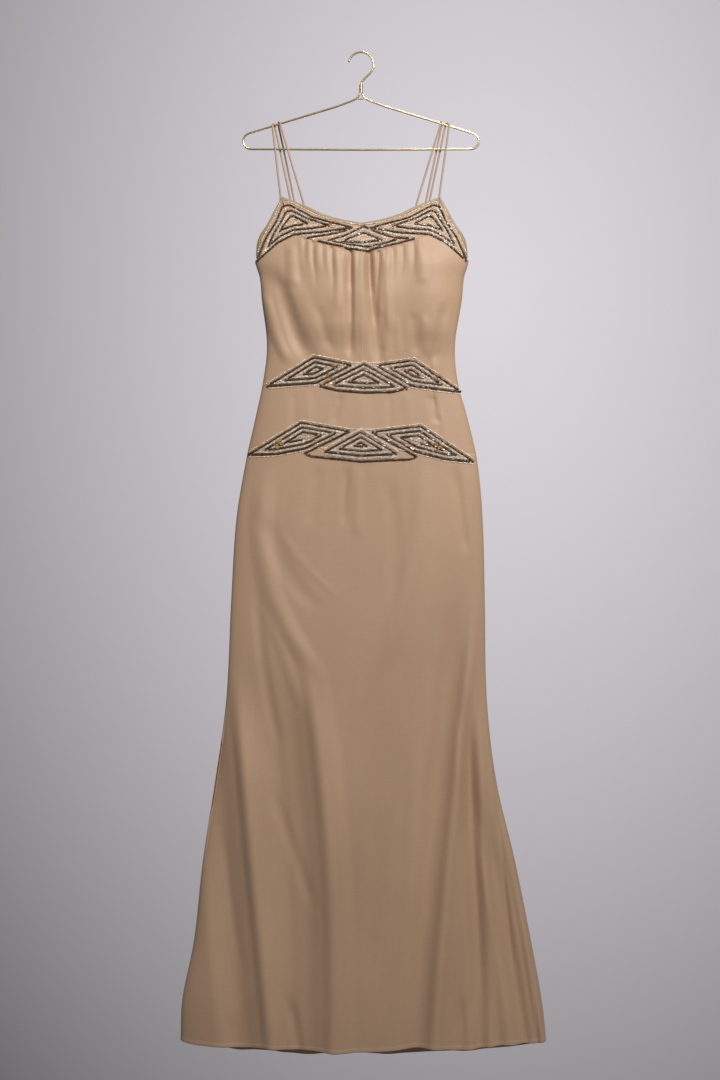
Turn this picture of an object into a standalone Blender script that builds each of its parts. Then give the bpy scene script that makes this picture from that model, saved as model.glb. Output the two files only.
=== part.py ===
"""A beaded evening gown that hangs from a wire hanger, at its real size.

The front faces -Y, +X is the right-hand side seen from the front, and the origin is the inside of
the hanger's hook. The tables give millimetres. A drop is how far a point hangs below the origin.
"""

import math
from typing import NamedTuple

import bmesh
import bpy
from mathutils import Vector

MM = 0.001

# Cloth and seams
WALL = 1.2  # silk crepe with its seam allowances, as one wall
SEAM = 0.3  # gap between neighbouring pieces
ROUNDING = 0.8  # how full the sides of the flattened hanging gown are, 1 is an ellipse
SIDE_SEAM = math.radians(90)
MOST_ANGLE = math.radians(85)  # nothing laid on the front goes nearer to a side seam
RELIEF_EASE = math.radians(9)  # folds die away this near to a side seam

# Binding
BINDING_WIDTH = 5.0
BINDING_THICK = 2.2
BINDING_INSIDE = 0.5  # how far the binding stands inside the cloth
PEAK_CLEAR = 0.5  # how far short of the strap peak an armhole binding stops

# Straps
STRAP_RADIUS = 1.7
STRAP_TUCK = 12.0  # length sewn down behind the edge
STRAP_EASE = 0.3  # how much looser it lies there than the gap of a seam
STRAP_STAND = 3.0  # how far above the front edge it leaves the cloth
STRAP_OVER = 0.1  # air between a strap and the hanger's arm, beyond the gap of a seam

# Beadwork
BEADS_CLEAR = 0.8  # gap under the beadwork
BEADS_TURN = math.radians(11)  # longest turn round the gown that a side runs straight

# Hanger
WIRE_RADIUS = 1.6
HOOK_RADIUS = 21.0  # of the wire's centre line
HOOK_TIP = math.radians(170)
HOOK_END = math.radians(-45)
STEM_BEND = ((4.2, 44.9), (1.2, 48.8), (0.0, 53.5))  # (out, drop), back under the hook
STEM_END = 64.3
COLLAR_TOP = 53.0
COLLAR_END = 67.0
COLLAR_RADIUS = 3.0
COLLAR_BEVEL = 0.6
LEG_START = 0.3  # below the collar
LEG_CURL = (0.4, 1.9)  # the first bend of a leg: out from the wire, down from its start
FRAME_TOP = 77.0  # where the legs bend into the arms
FRAME_NECK = 7.8
ARM_BEND = (8.0, 3.6)  # out and down from there
ARM_START = 42.0
ARM_SLOPE = 0.305
FRAME_END_OUT = 184.5  # middle of the rounded ends
FRAME_END_DROP = 148.0
FRAME_END_RADIUS = 13.6
BAR_SAG = 1.0
LINK_RADIUS = 1.0
LINK_HALF = 5.0
LINK_UNDER = 0.4  # how far below the bend of the legs it lies

# Facets: across and down
BODICE_ROWS = (0.0, 0.18, 0.36, 0.54, 0.7, 0.83, 0.92, 0.97, 1.0)  # closer at the gathers
SIDE_COLUMNS = 9  # across the yoke, from the last gather to the tip
TIP_COLUMNS = 3
YOKE_ROWS = 3
MIDRIFF_GRID = (28, 4)
SKIRT_FRONT_GRID = (60, 17)
BODICE_BACK_GRID = (26, 7)
SKIRT_BACK_GRID = (40, 13)

FRONT = -1
BACK = 1


class Section(NamedTuple):
    """A level cut through the gown: its half width, the shift of its middle, and its two depths."""

    drop: float
    half_width: float
    centre: float
    front: float
    back: float


SECTIONS = (
    Section(235, 177, 0.0, 8, 8),
    Section(283, 177, 0.5, 15, 14),
    Section(319, 178, 1.0, 22, 19),
    Section(351, 179, 1.5, 28, 23),
    Section(378, 171.5, 1.5, 30, 24),
    Section(415, 168, 1.5, 31, 25),
    Section(490, 158, 0.0, 24, 21),
    Section(549, 163, -1.0, 20, 20),
    Section(617, 179, 0.8, 21, 21),
    Section(684, 194, 1.0, 23, 24),
    Section(785, 207, -2.5, 24, 26),
    Section(919, 213, -5.0, 25, 28),
    Section(1087, 219, -7.5, 26, 28),
    Section(1221, 236, -9.0, 30, 31),
    Section(1356, 262, -3.5, 34, 35),
    Section(1490, 283, 2.5, 38, 39),
    Section(1591, 302, 1.7, 41, 42),
    Section(1660, 307, 4.0, 43, 44),
    Section(1720, 309, 4.0, 44, 45),
)


class EdgePoint(NamedTuple):
    """A point on an edge of the front: how far out from the middle, and its drop."""

    out: float
    drop: float


YOKE_LOWER = (
    EdgePoint(0, 337.5),
    EdgePoint(33, 333.5),
    EdgePoint(64, 325),
    EdgePoint(92, 315),
    EdgePoint(111, 309),
    EdgePoint(126, 311.5),
    EdgePoint(141, 321),
    EdgePoint(161, 339),
    EdgePoint(170, 348),
    EdgePoint(178, 352),
)
NECKLINE = (
    EdgePoint(134, 242),
    EdgePoint(117, 249),
    EdgePoint(89, 260),
    EdgePoint(67, 271),
    EdgePoint(35, 281),
    EdgePoint(0, 287.5),
)
ARMHOLE = (
    EdgePoint(134, 242),
    EdgePoint(146, 263),
    EdgePoint(161.5, 292),
    EdgePoint(171, 306),
    EdgePoint(176, 322),
    EdgePoint(176, 346),
)
YOKE_TURN = 126.0  # the lower edge point that faces the strap peak
YOKE_TIP = math.radians(72.5)
MOST_CROWDED = 4.0  # columns of the wall nearer to each other than this become one

WAIST_DROP = 546.0
WAIST_FALL = 11.0  # how much lower the waist seam is at the side seams
HIP_DROP = 662.0
HIP_FALL = 12.0
HEM_SIDE = 1656.0
FRONT_HEM_FALL = 12.0
BACK_HEM_FALL = 34.0
BACK_TOP = 356.0
BACK_SCOOP = 7.0


class Gather(NamedTuple):
    """A gather that hangs from the yoke seam: where it starts, its length and its depth."""

    out: float
    length: float
    depth: float


GATHERS_LEFT = (
    Gather(6, 50, 1.2),
    Gather(16, 165, 4.2),
    Gather(33, 60, 2.0),
    Gather(50, 85, 3.2),
    Gather(65, 60, 2.2),
    Gather(81, 90, 3.0),
    Gather(95, 55, 2.2),
)
GATHERS_RIGHT = (
    Gather(15, 60, 2.0),
    Gather(31, 170, 4.4),
    Gather(52, 60, 2.2),
    Gather(68, 70, 2.8),
    Gather(87, 75, 2.6),
)
GATHER_START = 7.0  # a gather reaches its depth this far below the seam
LAST_GATHER_CLEAR = 16.0  # plain cloth outside the last gather


class Fold(NamedTuple):
    """A long soft fold: the drops and places of its ends and middle, its half width and height."""

    top: float
    end: float
    x_top: float
    x_middle: float
    x_end: float
    half_width: float
    height: float


# A fold that runs off the hem has its end below it. A height below zero is a trough.
FRONT_FOLDS = (
    Fold(325, 490, -122, -118, -114, 44, 3.5),
    Fold(325, 490, 118, 116, 112, 44, 3.5),
    Fold(370, 512, -137, -118, -97, 18, -2.4),
    Fold(436, 510, 89, 90, 92, 14, -1.8),
    Fold(572, 626, 116, 121, 127, 12, -2.0),
    Fold(572, 626, -34, -40, -46, 12, -1.5),
    Fold(682, 1060, -148, -158, -60, 26, 4.0),
    Fold(682, 1060, 110, 84, 22, 26, 3.0),
    Fold(1010, 1900, -246, -204, -154, 34, -5.5),
    Fold(1010, 1900, -209, -167, -117, 24, 4.5),
    Fold(975, 1900, -134, -83, -96, 28, -5.0),
    Fold(975, 1900, -90, -39, -52, 32, 5.5),
    Fold(880, 1900, 166, 112, 72, 28, -4.5),
    Fold(880, 1900, 200, 146, 106, 24, 4.5),
    Fold(1040, 1900, 181, 202, 265, 20, -4.5),
    Fold(1040, 1900, 209, 230, 293, 22, 3.5),
    Fold(1230, 1900, 228, 282, 330, 12, -3.0),
    Fold(1570, 1760, -122, -104, -92, 14, -4.0),
    Fold(1570, 1760, 168, 166, 166, 13, -4.0),
)
BACK_FOLDS = (
    Fold(372, 520, -70, -66, -60, 26, -2.5),
    Fold(372, 520, 64, 62, 58, 24, -2.5),
    Fold(372, 600, 0, 2, 4, 30, 2.5),
    Fold(692, 1010, 150, 120, 96, 28, -4.0),
    Fold(692, 980, -128, -112, -84, 30, 4.0),
    Fold(960, 1900, 148, 170, 190, 30, -8.0),
    Fold(1010, 1900, 60, 52, 30, 36, -8.0),
    Fold(940, 1900, -60, -70, -96, 34, -8.0),
    Fold(1100, 1900, -170, -196, -216, 28, -8.0),
    Fold(1300, 1900, -10, -24, -34, 30, 5.0),
)
FOLD_EASE = 0.22  # share of a fold's length over which it rises and dies away


class Ornament(NamedTuple):
    """A band of beadwork: two four-sided fields and a three-sided one between them.

    Each corner is (out, drop). The band hangs a little askew: shift moves it sideways, and tilt
    is how much lower the +X side hangs for each unit across.
    """

    shift: float
    tilt: float
    side: tuple
    side_heart: tuple
    centre: tuple
    centre_heart: tuple


WAIST_BEADS = Ornament(
    shift=5.0,
    tilt=0.03,
    side=((155, 560.5), (84, 513), (20, 524), (88, 556)),
    side_heart=(86, 534),
    centre=((0, 525), (-73, 561), (0, 570), (73, 561)),
    centre_heart=(0, 551),
)
HIP_BEADS = Ornament(
    shift=0.0,
    tilt=0.03,
    side=((185, 676), (101, 624), (18, 635.5), (98, 668.5)),
    side_heart=(99, 647),
    centre=((0, 638), (-90, 675), (0, 685), (90, 675)),
    centre_heart=(0, 665),
)
YOKE_BEADS = Ornament(
    shift=0.5,
    tilt=0.0,
    side=(
        (167, 337),
        (167, 314),
        (156, 294),
        (132, 256.5),
        (86, 274),
        (52, 286),
        (17, 296),
        (52, 303.5),
        (126, 305),
    ),
    side_heart=(126, 284),
    centre=((0, 294.5), (-74, 317.5), (0, 333.5), (74, 317.5)),
    centre_heart=(0, 318),
)


class BeadRing(NamedTuple):
    """A ring of a field of beadwork: its scale about the heart, and its height over the cloth."""

    scale: float
    height: float


BEAD_RINGS = (
    BeadRing(1.0, 1.5),
    BeadRing(0.9, 2.6),
    BeadRing(0.72, 1.7),
    BeadRing(0.55, 2.6),
    BeadRing(0.38, 1.7),
    BeadRing(0.2, 2.6),
)
BEADS_UNDER = (1.0, 0.82, 0.62, 0.4, 0.2)
BEADS_HEART = 2.0


class Strap(NamedTuple):
    """A strap: its places at the front edge, over the hanger, and at the back edge."""

    name: str
    front_x: float
    front_edge: float
    arm_front_x: float
    arm_back_x: float
    back_x: float


STRAPS = (
    Strap("strap_left_outer", -135.0, 243.0, -148.7, -145.0, -96.0),
    Strap("strap_left_inner", -96.0, 257.0, -136.0, -139.0, -90.5),
    Strap("strap_right_inner", 93.0, 258.0, 134.0, 136.0, 88.0),
    Strap("strap_right_outer", 131.5, 244.0, 147.8, 142.0, 93.5),
)


class Finish(NamedTuple):
    """The look of a material."""

    colour: tuple
    roughness: float
    metallic: float


CREPE = Finish((0.434, 0.296, 0.188), 0.55, 0.0)
BIAS = Finish((0.36, 0.26, 0.15), 0.6, 0.0)
ROULEAU = Finish((0.52, 0.36, 0.27), 0.5, 0.0)
BRONZE_BEADS = Finish((0.16, 0.1, 0.07), 0.25, 0.6)
GILT_WIRE = Finish((0.75, 0.6, 0.36), 0.25, 1.0)


class Smooth:
    """A smooth curve through rows of values, each row at its own place along the curve."""

    def __init__(self, places, rows):
        self.places = places
        self.rows = rows

    def slope(self, index, value):
        before = max(index - 1, 0)
        after = min(index + 1, len(self.places) - 1)
        rise = self.rows[after][value] - self.rows[before][value]
        return rise / (self.places[after] - self.places[before])

    def at(self, place):
        last = len(self.places) - 2
        index = 0
        while index < last and self.places[index + 1] < place:
            index += 1
        start, end = self.places[index], self.places[index + 1]
        span = end - start
        t = min(max((place - start) / span, 0.0), 1.0)
        rise = t * t * (3 - 2 * t)
        leave = t * (1 - t) * (1 - t)
        arrive = t * t * (t - 1)
        result = []
        for value in range(len(self.rows[index])):
            low, high = self.rows[index][value], self.rows[index + 1][value]
            bend = leave * self.slope(index, value) + arrive * self.slope(index + 1, value)
            result.append(low + (high - low) * rise + span * bend)
        return result


def along(points):
    """A smooth curve through points, with its places measured along it from 0 to 1."""
    lengths = [0.0]
    for start, end in zip(points, points[1:]):
        lengths.append(lengths[-1] + math.dist(start, end))
    return Smooth([length / lengths[-1] for length in lengths], points)


CHEST_WIDTH = SECTIONS[3].half_width - WALL
SECTION_CURVE = Smooth([row.drop for row in SECTIONS], [row[1:] for row in SECTIONS])
YOKE_LOWER_CURVE = Smooth([row.out for row in YOKE_LOWER], [(row.drop,) for row in YOKE_LOWER])
NECKLINE_CURVE = along(NECKLINE)
ARMHOLE_CURVE = along(ARMHOLE)


def eased(t):
    """Rises from 0 to 1 and dies away again, as t goes from 0 to 1."""
    edge = min(t, 1 - t) / FOLD_EASE
    edge = min(max(edge, 0.0), 1.0)
    return edge * edge * (3 - 2 * edge)


def swell(across):
    """A soft hump, 1 in the middle and 0 from -1 and 1 outwards."""
    if abs(across) >= 1:
        return 0.0
    return 0.5 + 0.5 * math.cos(math.pi * across)


def fold_height(folds, x, drop):
    total = 0.0
    for fold in folds:
        t = (drop - fold.top) / (fold.end - fold.top)
        if not 0 < t < 1:
            continue
        path = (
            fold.x_top * (1 - t) * (1 - 2 * t)
            + fold.x_middle * 4 * t * (1 - t)
            + fold.x_end * t * (2 * t - 1)
        )
        total += fold.height * eased(t) * swell((x - path) / fold.half_width)
    return total


def gather_spans(gathers):
    """The half width of each gather: half the way to its nearest neighbour."""
    outs = [0.0] + [gather.out for gather in gathers] + [gathers[-1].out + LAST_GATHER_CLEAR]
    return [min(here - before, after - here) / 2 for before, here, after in zip(outs, outs[1:], outs[2:])]


def gather_height(x, drop):
    """The depth of the gathers. The x is a place across the chest, so they narrow with the waist."""
    gathers = GATHERS_LEFT if x < 0 else GATHERS_RIGHT
    out = abs(x)
    total = 0.0
    below = drop - yoke_seam(out)
    for gather, span in zip(gathers, gather_spans(gathers)):
        if not 0 < below < gather.length:
            continue
        start = min(below / GATHER_START, 1.0)
        fade = 1 - below / gather.length
        rise = start * fade * fade * (3 - 2 * fade)
        total -= gather.depth * rise * swell((out - gather.out) / span)
    return total


def yoke_seam(out):
    return YOKE_LOWER_CURVE.at(out)[0]


def waist_seam(angle):
    return WAIST_DROP + WAIST_FALL * math.sin(angle) ** 2


def hip_seam(angle):
    return HIP_DROP + HIP_FALL * math.sin(angle) ** 2


def back_top(angle):
    return BACK_TOP + BACK_SCOOP * math.cos(angle)


def above_waist(angle):
    return waist_seam(angle) - SEAM / 2


def below_waist(angle):
    return waist_seam(angle) + SEAM / 2


def above_hip(angle):
    return hip_seam(angle) - SEAM / 2


def below_hip(angle):
    return hip_seam(angle) + SEAM / 2


def front_hem(angle):
    return HEM_SIDE + FRONT_HEM_FALL * math.cos(angle)


def back_hem(angle):
    return HEM_SIDE + BACK_HEM_FALL * math.cos(angle)


def inner_point(angle, drop, side):
    """The inside of the cloth. The angle is 0 in the middle and a right angle at a side seam."""
    half_width, centre, front, back = SECTION_CURVE.at(drop)
    depth = (front if side == FRONT else back) - WALL
    x = centre + (half_width - WALL) * math.sin(angle)
    height = fold_height(FRONT_FOLDS if side == FRONT else BACK_FOLDS, x, drop)
    if side == FRONT:
        height += gather_height(CHEST_WIDTH * math.sin(angle), drop)
    near_side = min((SIDE_SEAM - abs(angle)) / RELIEF_EASE, 1.0)
    out = depth * max(math.cos(angle), 0.0) ** ROUNDING + height * near_side
    return Vector((x, side * (out + SEAM / 2), -drop))


def cloth_point(angle, drop, side, lift=0.0):
    """A point that stands this far out from the inside of the cloth."""
    if lift == 0.0:
        return inner_point(angle, drop, side)
    turn = math.radians(0.5)
    step = 0.5
    across = inner_point(angle + turn, drop, side) - inner_point(angle - turn, drop, side)
    upward = inner_point(angle, drop - step, side) - inner_point(angle, drop + step, side)
    normal = across.cross(upward).normalized() * (1 if side == FRONT else -1)
    return inner_point(angle, drop, side) + normal * lift


def angle_at(x, drop):
    """The angle of a place given by its distance across."""
    half_width, centre = SECTION_CURVE.at(drop)[:2]
    share = (x - centre) / (half_width - WALL)
    most = math.sin(MOST_ANGLE)
    return math.asin(min(max(share, -most), most))


def chest_angle(out):
    """The angle of a place on the yoke given by its distance out from the middle of the chest."""
    most = math.sin(MOST_ANGLE)
    return math.asin(min(max(out / CHEST_WIDTH, -most), most))


def material(name, finish):
    made = bpy.data.materials.new(name)
    made.use_nodes = True
    shader = made.node_tree.nodes["Principled BSDF"]
    shader.inputs["Base Color"].default_value = (*finish.colour, 1.0)
    shader.inputs["Roughness"].default_value = finish.roughness
    shader.inputs["Metallic"].default_value = finish.metallic
    return made


def finished(name, data, finish, collection):
    made = bpy.data.objects.new(name, data)
    data.materials.append(material(name, finish))
    collection.objects.link(made)
    return made


def panel(name, columns, rows, place, thick, finish, collection):
    """A cloth wall: a grid whose points go where place(column, row) says, made thick outwards."""
    grid = bmesh.new()
    bmesh.ops.create_grid(grid, x_segments=len(columns) - 1, y_segments=len(rows) - 1, size=1.0)
    for vertex in grid.verts:
        column = columns[round((vertex.co.x + 1) / 2 * (len(columns) - 1))]
        row = rows[round((vertex.co.y + 1) / 2 * (len(rows) - 1))]
        vertex.co = place(column, row) * MM
    mesh = bpy.data.meshes.new(name)
    grid.to_mesh(mesh)
    grid.free()
    mesh.shade_smooth()
    made = finished(name, mesh, finish, collection)
    wall = made.modifiers.new("wall", "SOLIDIFY")
    wall.thickness = thick * MM
    wall.offset = 1.0
    return made


def spaced(start, end, count):
    return [start + (end - start) * index / count for index in range(count + 1)]


def chest_columns(gathers):
    """Places across the chest, from the middle to the yoke's tip: one on each gather, one between."""
    outs = [SEAM / 2] + [gather.out for gather in gathers]
    outs += [(low + high) / 2 for low, high in zip(outs[1:], outs[2:])]
    tip = CHEST_WIDTH * math.sin(YOKE_TIP)
    last = chest_angle(max(outs))
    sides = [CHEST_WIDTH * math.sin(angle) for angle in spaced(last, YOKE_TIP, SIDE_COLUMNS)[1:-1]]
    sides = [out for out in sides if abs(out - YOKE_TURN) > MOST_CROWDED]
    return sorted(outs + sides + [YOKE_TURN, tip])


def bodice_half(name, gathers, sign, collection):
    """One gathered half: it hangs from the yoke's seam and ends at the waist."""
    angles = [chest_angle(out) for out in chest_columns(gathers)] + spaced(YOKE_TIP, SIDE_SEAM, TIP_COLUMNS)[1:]
    columns = sorted(sign * angle for angle in angles)

    def place(angle, row):
        out = CHEST_WIDTH * abs(math.sin(angle))
        top = yoke_seam(out) + SEAM
        return cloth_point(angle, above_waist(angle) + (top - above_waist(angle)) * row, FRONT)

    return panel(name, columns, BODICE_ROWS, place, WALL, CREPE, collection)


def shaped_panel(name, side, grid, top, end, collection):
    """A panel from side seam to side seam, between two edges that are drops given by the angle."""
    across, down = grid
    columns = spaced(-SIDE_SEAM, SIDE_SEAM, across)
    if side == BACK:
        columns.reverse()

    def place(angle, row):
        return cloth_point(angle, end(angle) + (top(angle) - end(angle)) * row, side)

    return panel(name, columns, spaced(0.0, 1.0, down), place, WALL, CREPE, collection)


def moved_in(points, distance):
    """The points of an open edge, each moved square to the edge, with mitred corners."""
    result = []
    for index, point in enumerate(points):
        normals = []
        for start, end in ((index - 1, index), (index, index + 1)):
            if start < 0 or end >= len(points):
                continue
            run = Vector(points[end]) - Vector(points[start])
            normals.append(Vector((-run.y, run.x)).normalized())
        total = sum(normals, Vector((0, 0)))
        total /= 1 + (normals[0].dot(normals[1]) if len(normals) == 2 else 0)
        result.append(Vector(point) + total * distance)
    return result


def yoke_edge_fractions(outs):
    """For each place on the yoke's lower edge, the point of the finished top edge above it."""
    points = []
    tip = CHEST_WIDTH * math.sin(YOKE_TIP)
    for out in outs:
        if out > YOKE_TURN:
            points.append(ARMHOLE_CURVE.at((out - YOKE_TURN) / (tip - YOKE_TURN)))
        else:
            points.append(NECKLINE_CURVE.at(1 - out / YOKE_TURN))
    return points


def yoke_columns():
    """Places across the yoke, which it shares with the two halves of the bodice."""
    left = [-out for out in chest_columns(GATHERS_LEFT)[:0:-1]]
    return left + [0.0] + chest_columns(GATHERS_RIGHT)[1:]


def yoke_top(columns, distance):
    """The yoke's top edge, moved in by a distance, in order from one tip to the other."""
    left = [out for out in columns if out <= 0]
    right = [out for out in columns if out >= 0]
    edges = []
    for outs in (left[::-1], right):
        points = yoke_edge_fractions([abs(out) for out in outs])
        edges.append(moved_in(points, distance))
    return edges[0][:0:-1], edges[1]


def yoke_edge(columns, distance):
    """The yoke's top edge moved in by a distance: one (x, drop) for each column, from tip to tip."""
    left, right = yoke_top(columns, distance)
    return [(-point.x, point.y) for point in left] + [(point.x, point.y) for point in right]


def yoke_front(collection):
    columns = yoke_columns()
    tops = yoke_edge(columns, BINDING_WIDTH + SEAM)

    def place(index, row):
        lower = (columns[index], yoke_seam(abs(columns[index])))
        x = lower[0] + (tops[index][0] - lower[0]) * row
        drop = lower[1] + (tops[index][1] - lower[1]) * row
        return cloth_point(chest_angle(x), drop, FRONT)

    order = list(range(len(columns)))
    return panel("yoke_front", order, spaced(0.0, 1.0, YOKE_ROWS), place, WALL, CREPE, collection)


def binding(name, inner, outer, side, collection):
    """A flat strip between the cloth's edge and the finished edge, a little thicker than the cloth."""

    def place(index, row):
        x = inner[index][0] + (outer[index][0] - inner[index][0]) * row
        drop = inner[index][1] + (outer[index][1] - inner[index][1]) * row
        return cloth_point(chest_angle(x), drop, side, -BINDING_INSIDE)

    order = list(range(len(inner)))
    if side == BACK:
        order.reverse()
    return panel(name, order, [0.0, 1.0], place, BINDING_THICK, BIAS, collection)


def front_bindings(collection):
    """The neckline binding from peak to peak, and an armhole binding from each peak to its tip."""
    columns = yoke_columns()
    inner = yoke_edge(columns, BINDING_WIDTH)
    outer = yoke_edge(columns, 0.0)
    left_peak = columns.index(-YOKE_TURN)
    right_peak = columns.index(YOKE_TURN)
    neck = slice(left_peak, right_peak + 1)
    binding("binding_neckline", inner[neck], outer[neck], FRONT, collection)
    for label, arm, peak, after in (
        ("left", slice(0, left_peak + 1), -1, -2),
        ("right", slice(right_peak, len(columns)), 0, 1),
    ):
        edges = [inner[arm], outer[arm]]
        for edge in edges:
            run = Vector(edge[after]) - Vector(edge[peak])
            edge[peak] = tuple(Vector(edge[peak]) + run.normalized() * PEAK_CLEAR)
        binding(f"binding_armhole_{label}", *edges, FRONT, collection)


def back_binding(collection):
    """The binding of the low back edge, from side seam to side seam."""
    angles = spaced(-SIDE_SEAM, SIDE_SEAM, 26)

    def place(angle, row):
        drop = back_top(angle) - SEAM - BINDING_WIDTH * row
        return cloth_point(angle, drop, BACK, -BINDING_INSIDE)

    panel("binding_back", angles[::-1], [0.0, 1.0], place, BINDING_THICK, BIAS, collection)


def bead_outline(corners):
    """The outline of a field, with its sides cut short enough to follow the cloth."""
    points = []
    for start, end in zip(corners, corners[1:] + corners[:1]):
        turn = abs(angle_at(*end) - angle_at(*start))
        steps = max(1, math.ceil(turn / BEADS_TURN))
        points += [Vector(start).lerp(Vector(end), index / steps) for index in range(steps)]
    return [Vector((angle_at(*point), point.y)) for point in points]


def bead_field(name, corners, heart, collection):
    """A field of nested bead rows: rings about its heart, high and low by turns, plain underneath."""
    outline = bead_outline(corners)
    middle = Vector((angle_at(*heart), heart[1]))
    solid = bmesh.new()

    def ring(scale, height):
        points = []
        for point in outline:
            angle, drop = middle.lerp(point, scale)
            points.append(solid.verts.new(cloth_point(angle, drop, FRONT, WALL + height) * MM))
        return points

    def join(first, second):
        for index in range(len(first)):
            after = (index + 1) % len(first)
            solid.faces.new((first[index], first[after], second[after], second[index]))

    def close(edge, height):
        tip = solid.verts.new(cloth_point(*middle, FRONT, WALL + height) * MM)
        for index in range(len(edge)):
            solid.faces.new((edge[index], edge[(index + 1) % len(edge)], tip))

    upper = [ring(row.scale, row.height) for row in BEAD_RINGS]
    under = [ring(scale, BEADS_CLEAR) for scale in BEADS_UNDER]
    for rings in (upper, under):
        for first, second in zip(rings, rings[1:]):
            join(first, second)
    join(upper[0], under[0])
    close(upper[-1], BEADS_HEART)
    close(under[-1], BEADS_CLEAR)
    bmesh.ops.recalc_face_normals(solid, faces=solid.faces)
    mesh = bpy.data.meshes.new(name)
    solid.to_mesh(mesh)
    solid.free()
    return finished(name, mesh, BRONZE_BEADS, collection)


def bead_band(name, band, collection):
    """The three fields of a band, of which the side ones mirror each other about its middle."""

    def hung(point, sign):
        out = sign * point[0]
        return (out + band.shift, point[1] + band.tilt * out)

    for label, sign in (("left", -1), ("right", 1)):
        corners = [hung(point, sign) for point in band.side]
        bead_field(f"{name}_{label}", corners, hung(band.side_heart, sign), collection)
    corners = [hung(point, 1) for point in band.centre]
    bead_field(f"{name}_centre", corners, hung(band.centre_heart, 1), collection)


def wire(name, points, radius, finish, collection):
    """A round wire or rouleau through points, with filled ends."""
    curve = bpy.data.curves.new(name, "CURVE")
    curve.dimensions = "3D"
    curve.bevel_depth = radius * MM
    curve.bevel_resolution = 2
    curve.use_fill_caps = True
    spline = curve.splines.new("POLY")
    spline.points.add(len(points) - 1)
    for knot, point in zip(spline.points, points):
        knot.co = (*(Vector(point) * MM), 1.0)
    return finished(name, curve, finish, collection)


def arm_drop(out):
    """The drop of the hanger's arm."""
    return FRAME_END_DROP - FRAME_END_RADIUS * math.hypot(1, ARM_SLOPE) - ARM_SLOPE * (FRAME_END_OUT - out)


def strap(row, collection):
    """A strap from behind the front edge, over the hanger's arm, to inside the back edge."""
    clear = SEAM + STRAP_RADIUS
    reach = WIRE_RADIUS + clear + STRAP_OVER

    def behind(x, drop, side):
        point = inner_point(angle_at(x, drop), drop, side)
        point.y -= side * (BINDING_INSIDE + clear + STRAP_EASE)
        return point

    back_edge = BACK_TOP + BACK_SCOOP
    points = [behind(row.front_x, row.front_edge + STRAP_TUCK, FRONT)]
    points.append(behind(row.front_x, row.front_edge - STRAP_STAND, FRONT))
    for turn in spaced(0.0, math.pi, 6):
        x = row.arm_front_x + (row.arm_back_x - row.arm_front_x) * (1 - math.cos(turn)) / 2
        drop = arm_drop(abs(x)) - reach * math.sin(turn) / math.cos(math.atan(ARM_SLOPE))
        points.append((x, -reach * math.cos(turn), -drop))
    points.append(behind(row.back_x, back_edge - STRAP_TUCK, BACK))
    points.append(behind(row.back_x, back_edge + STRAP_TUCK, BACK))
    wire(row.name, points, STRAP_RADIUS, ROULEAU, collection)


def hanger_frame(collection):
    """The bent wire: from the collar down one arm, round the bar and up the other."""
    lean = math.atan(ARM_SLOPE)
    start = (WIRE_RADIUS + SEAM, COLLAR_END + LEG_START)
    curl = (WIRE_RADIUS + LEG_CURL[0], start[1] + LEG_CURL[1])
    bend = (FRAME_NECK + ARM_BEND[0], FRAME_TOP + ARM_BEND[1])
    right = [start, curl, (FRAME_NECK, FRAME_TOP), bend, (ARM_START, arm_drop(ARM_START))]
    for turn in spaced(math.pi / 2 - lean, -math.pi / 2, 8):
        out = FRAME_END_OUT + FRAME_END_RADIUS * math.cos(turn)
        right.append((out, FRAME_END_DROP - FRAME_END_RADIUS * math.sin(turn)))
    middle = (0.0, right[-1][1] + BAR_SAG)
    outline = right + [middle] + [(-out, drop) for out, drop in right[::-1]]
    wire("hanger_frame", [(out, 0, -drop) for out, drop in outline], WIRE_RADIUS, GILT_WIRE, collection)


def hanger_hook(collection):
    """The round hook, open towards -X, which bends back under itself into the stem."""
    centre = WIRE_RADIUS - HOOK_RADIUS
    points = []
    for turn in spaced(HOOK_TIP, HOOK_END, 12):
        points.append((HOOK_RADIUS * math.cos(turn), 0, centre + HOOK_RADIUS * math.sin(turn)))
    points += [(out, 0, -drop) for out, drop in (*STEM_BEND, (0.0, STEM_END))]
    wire("hanger_hook", points, WIRE_RADIUS, GILT_WIRE, collection)


def hanger_collar(collection):
    """The sleeve that joins the hook's stem to the frame: turned, with a blind bore."""
    bore = WIRE_RADIUS + SEAM
    profile = [
        (0, STEM_END + SEAM),
        (bore, STEM_END + SEAM),
        (bore, COLLAR_TOP),
        (COLLAR_RADIUS - COLLAR_BEVEL, COLLAR_TOP),
        (COLLAR_RADIUS, COLLAR_TOP + COLLAR_BEVEL),
        (COLLAR_RADIUS, COLLAR_END - COLLAR_BEVEL),
        (COLLAR_RADIUS - COLLAR_BEVEL, COLLAR_END),
        (0, COLLAR_END),
    ]
    mesh = bpy.data.meshes.new("hanger_collar")
    edges = [(index, index + 1) for index in range(len(profile) - 1)]
    mesh.from_pydata([(out * MM, 0, -drop * MM) for out, drop in profile], edges, [])
    made = finished("hanger_collar", mesh, GILT_WIRE, collection)
    turned = made.modifiers.new("turned", "SCREW")
    turned.steps = 12
    turned.render_steps = 12
    turned.use_merge_vertices = True
    turned.merge_threshold = 0.00001


def hanger_link(collection):
    """The short crosspiece between the legs, just under their bend."""
    level = -FRAME_TOP - LINK_UNDER
    ends = [(-LINK_HALF, 0, level), (LINK_HALF, 0, level)]
    wire("hanger_link", ends, LINK_RADIUS, GILT_WIRE, collection)


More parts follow.
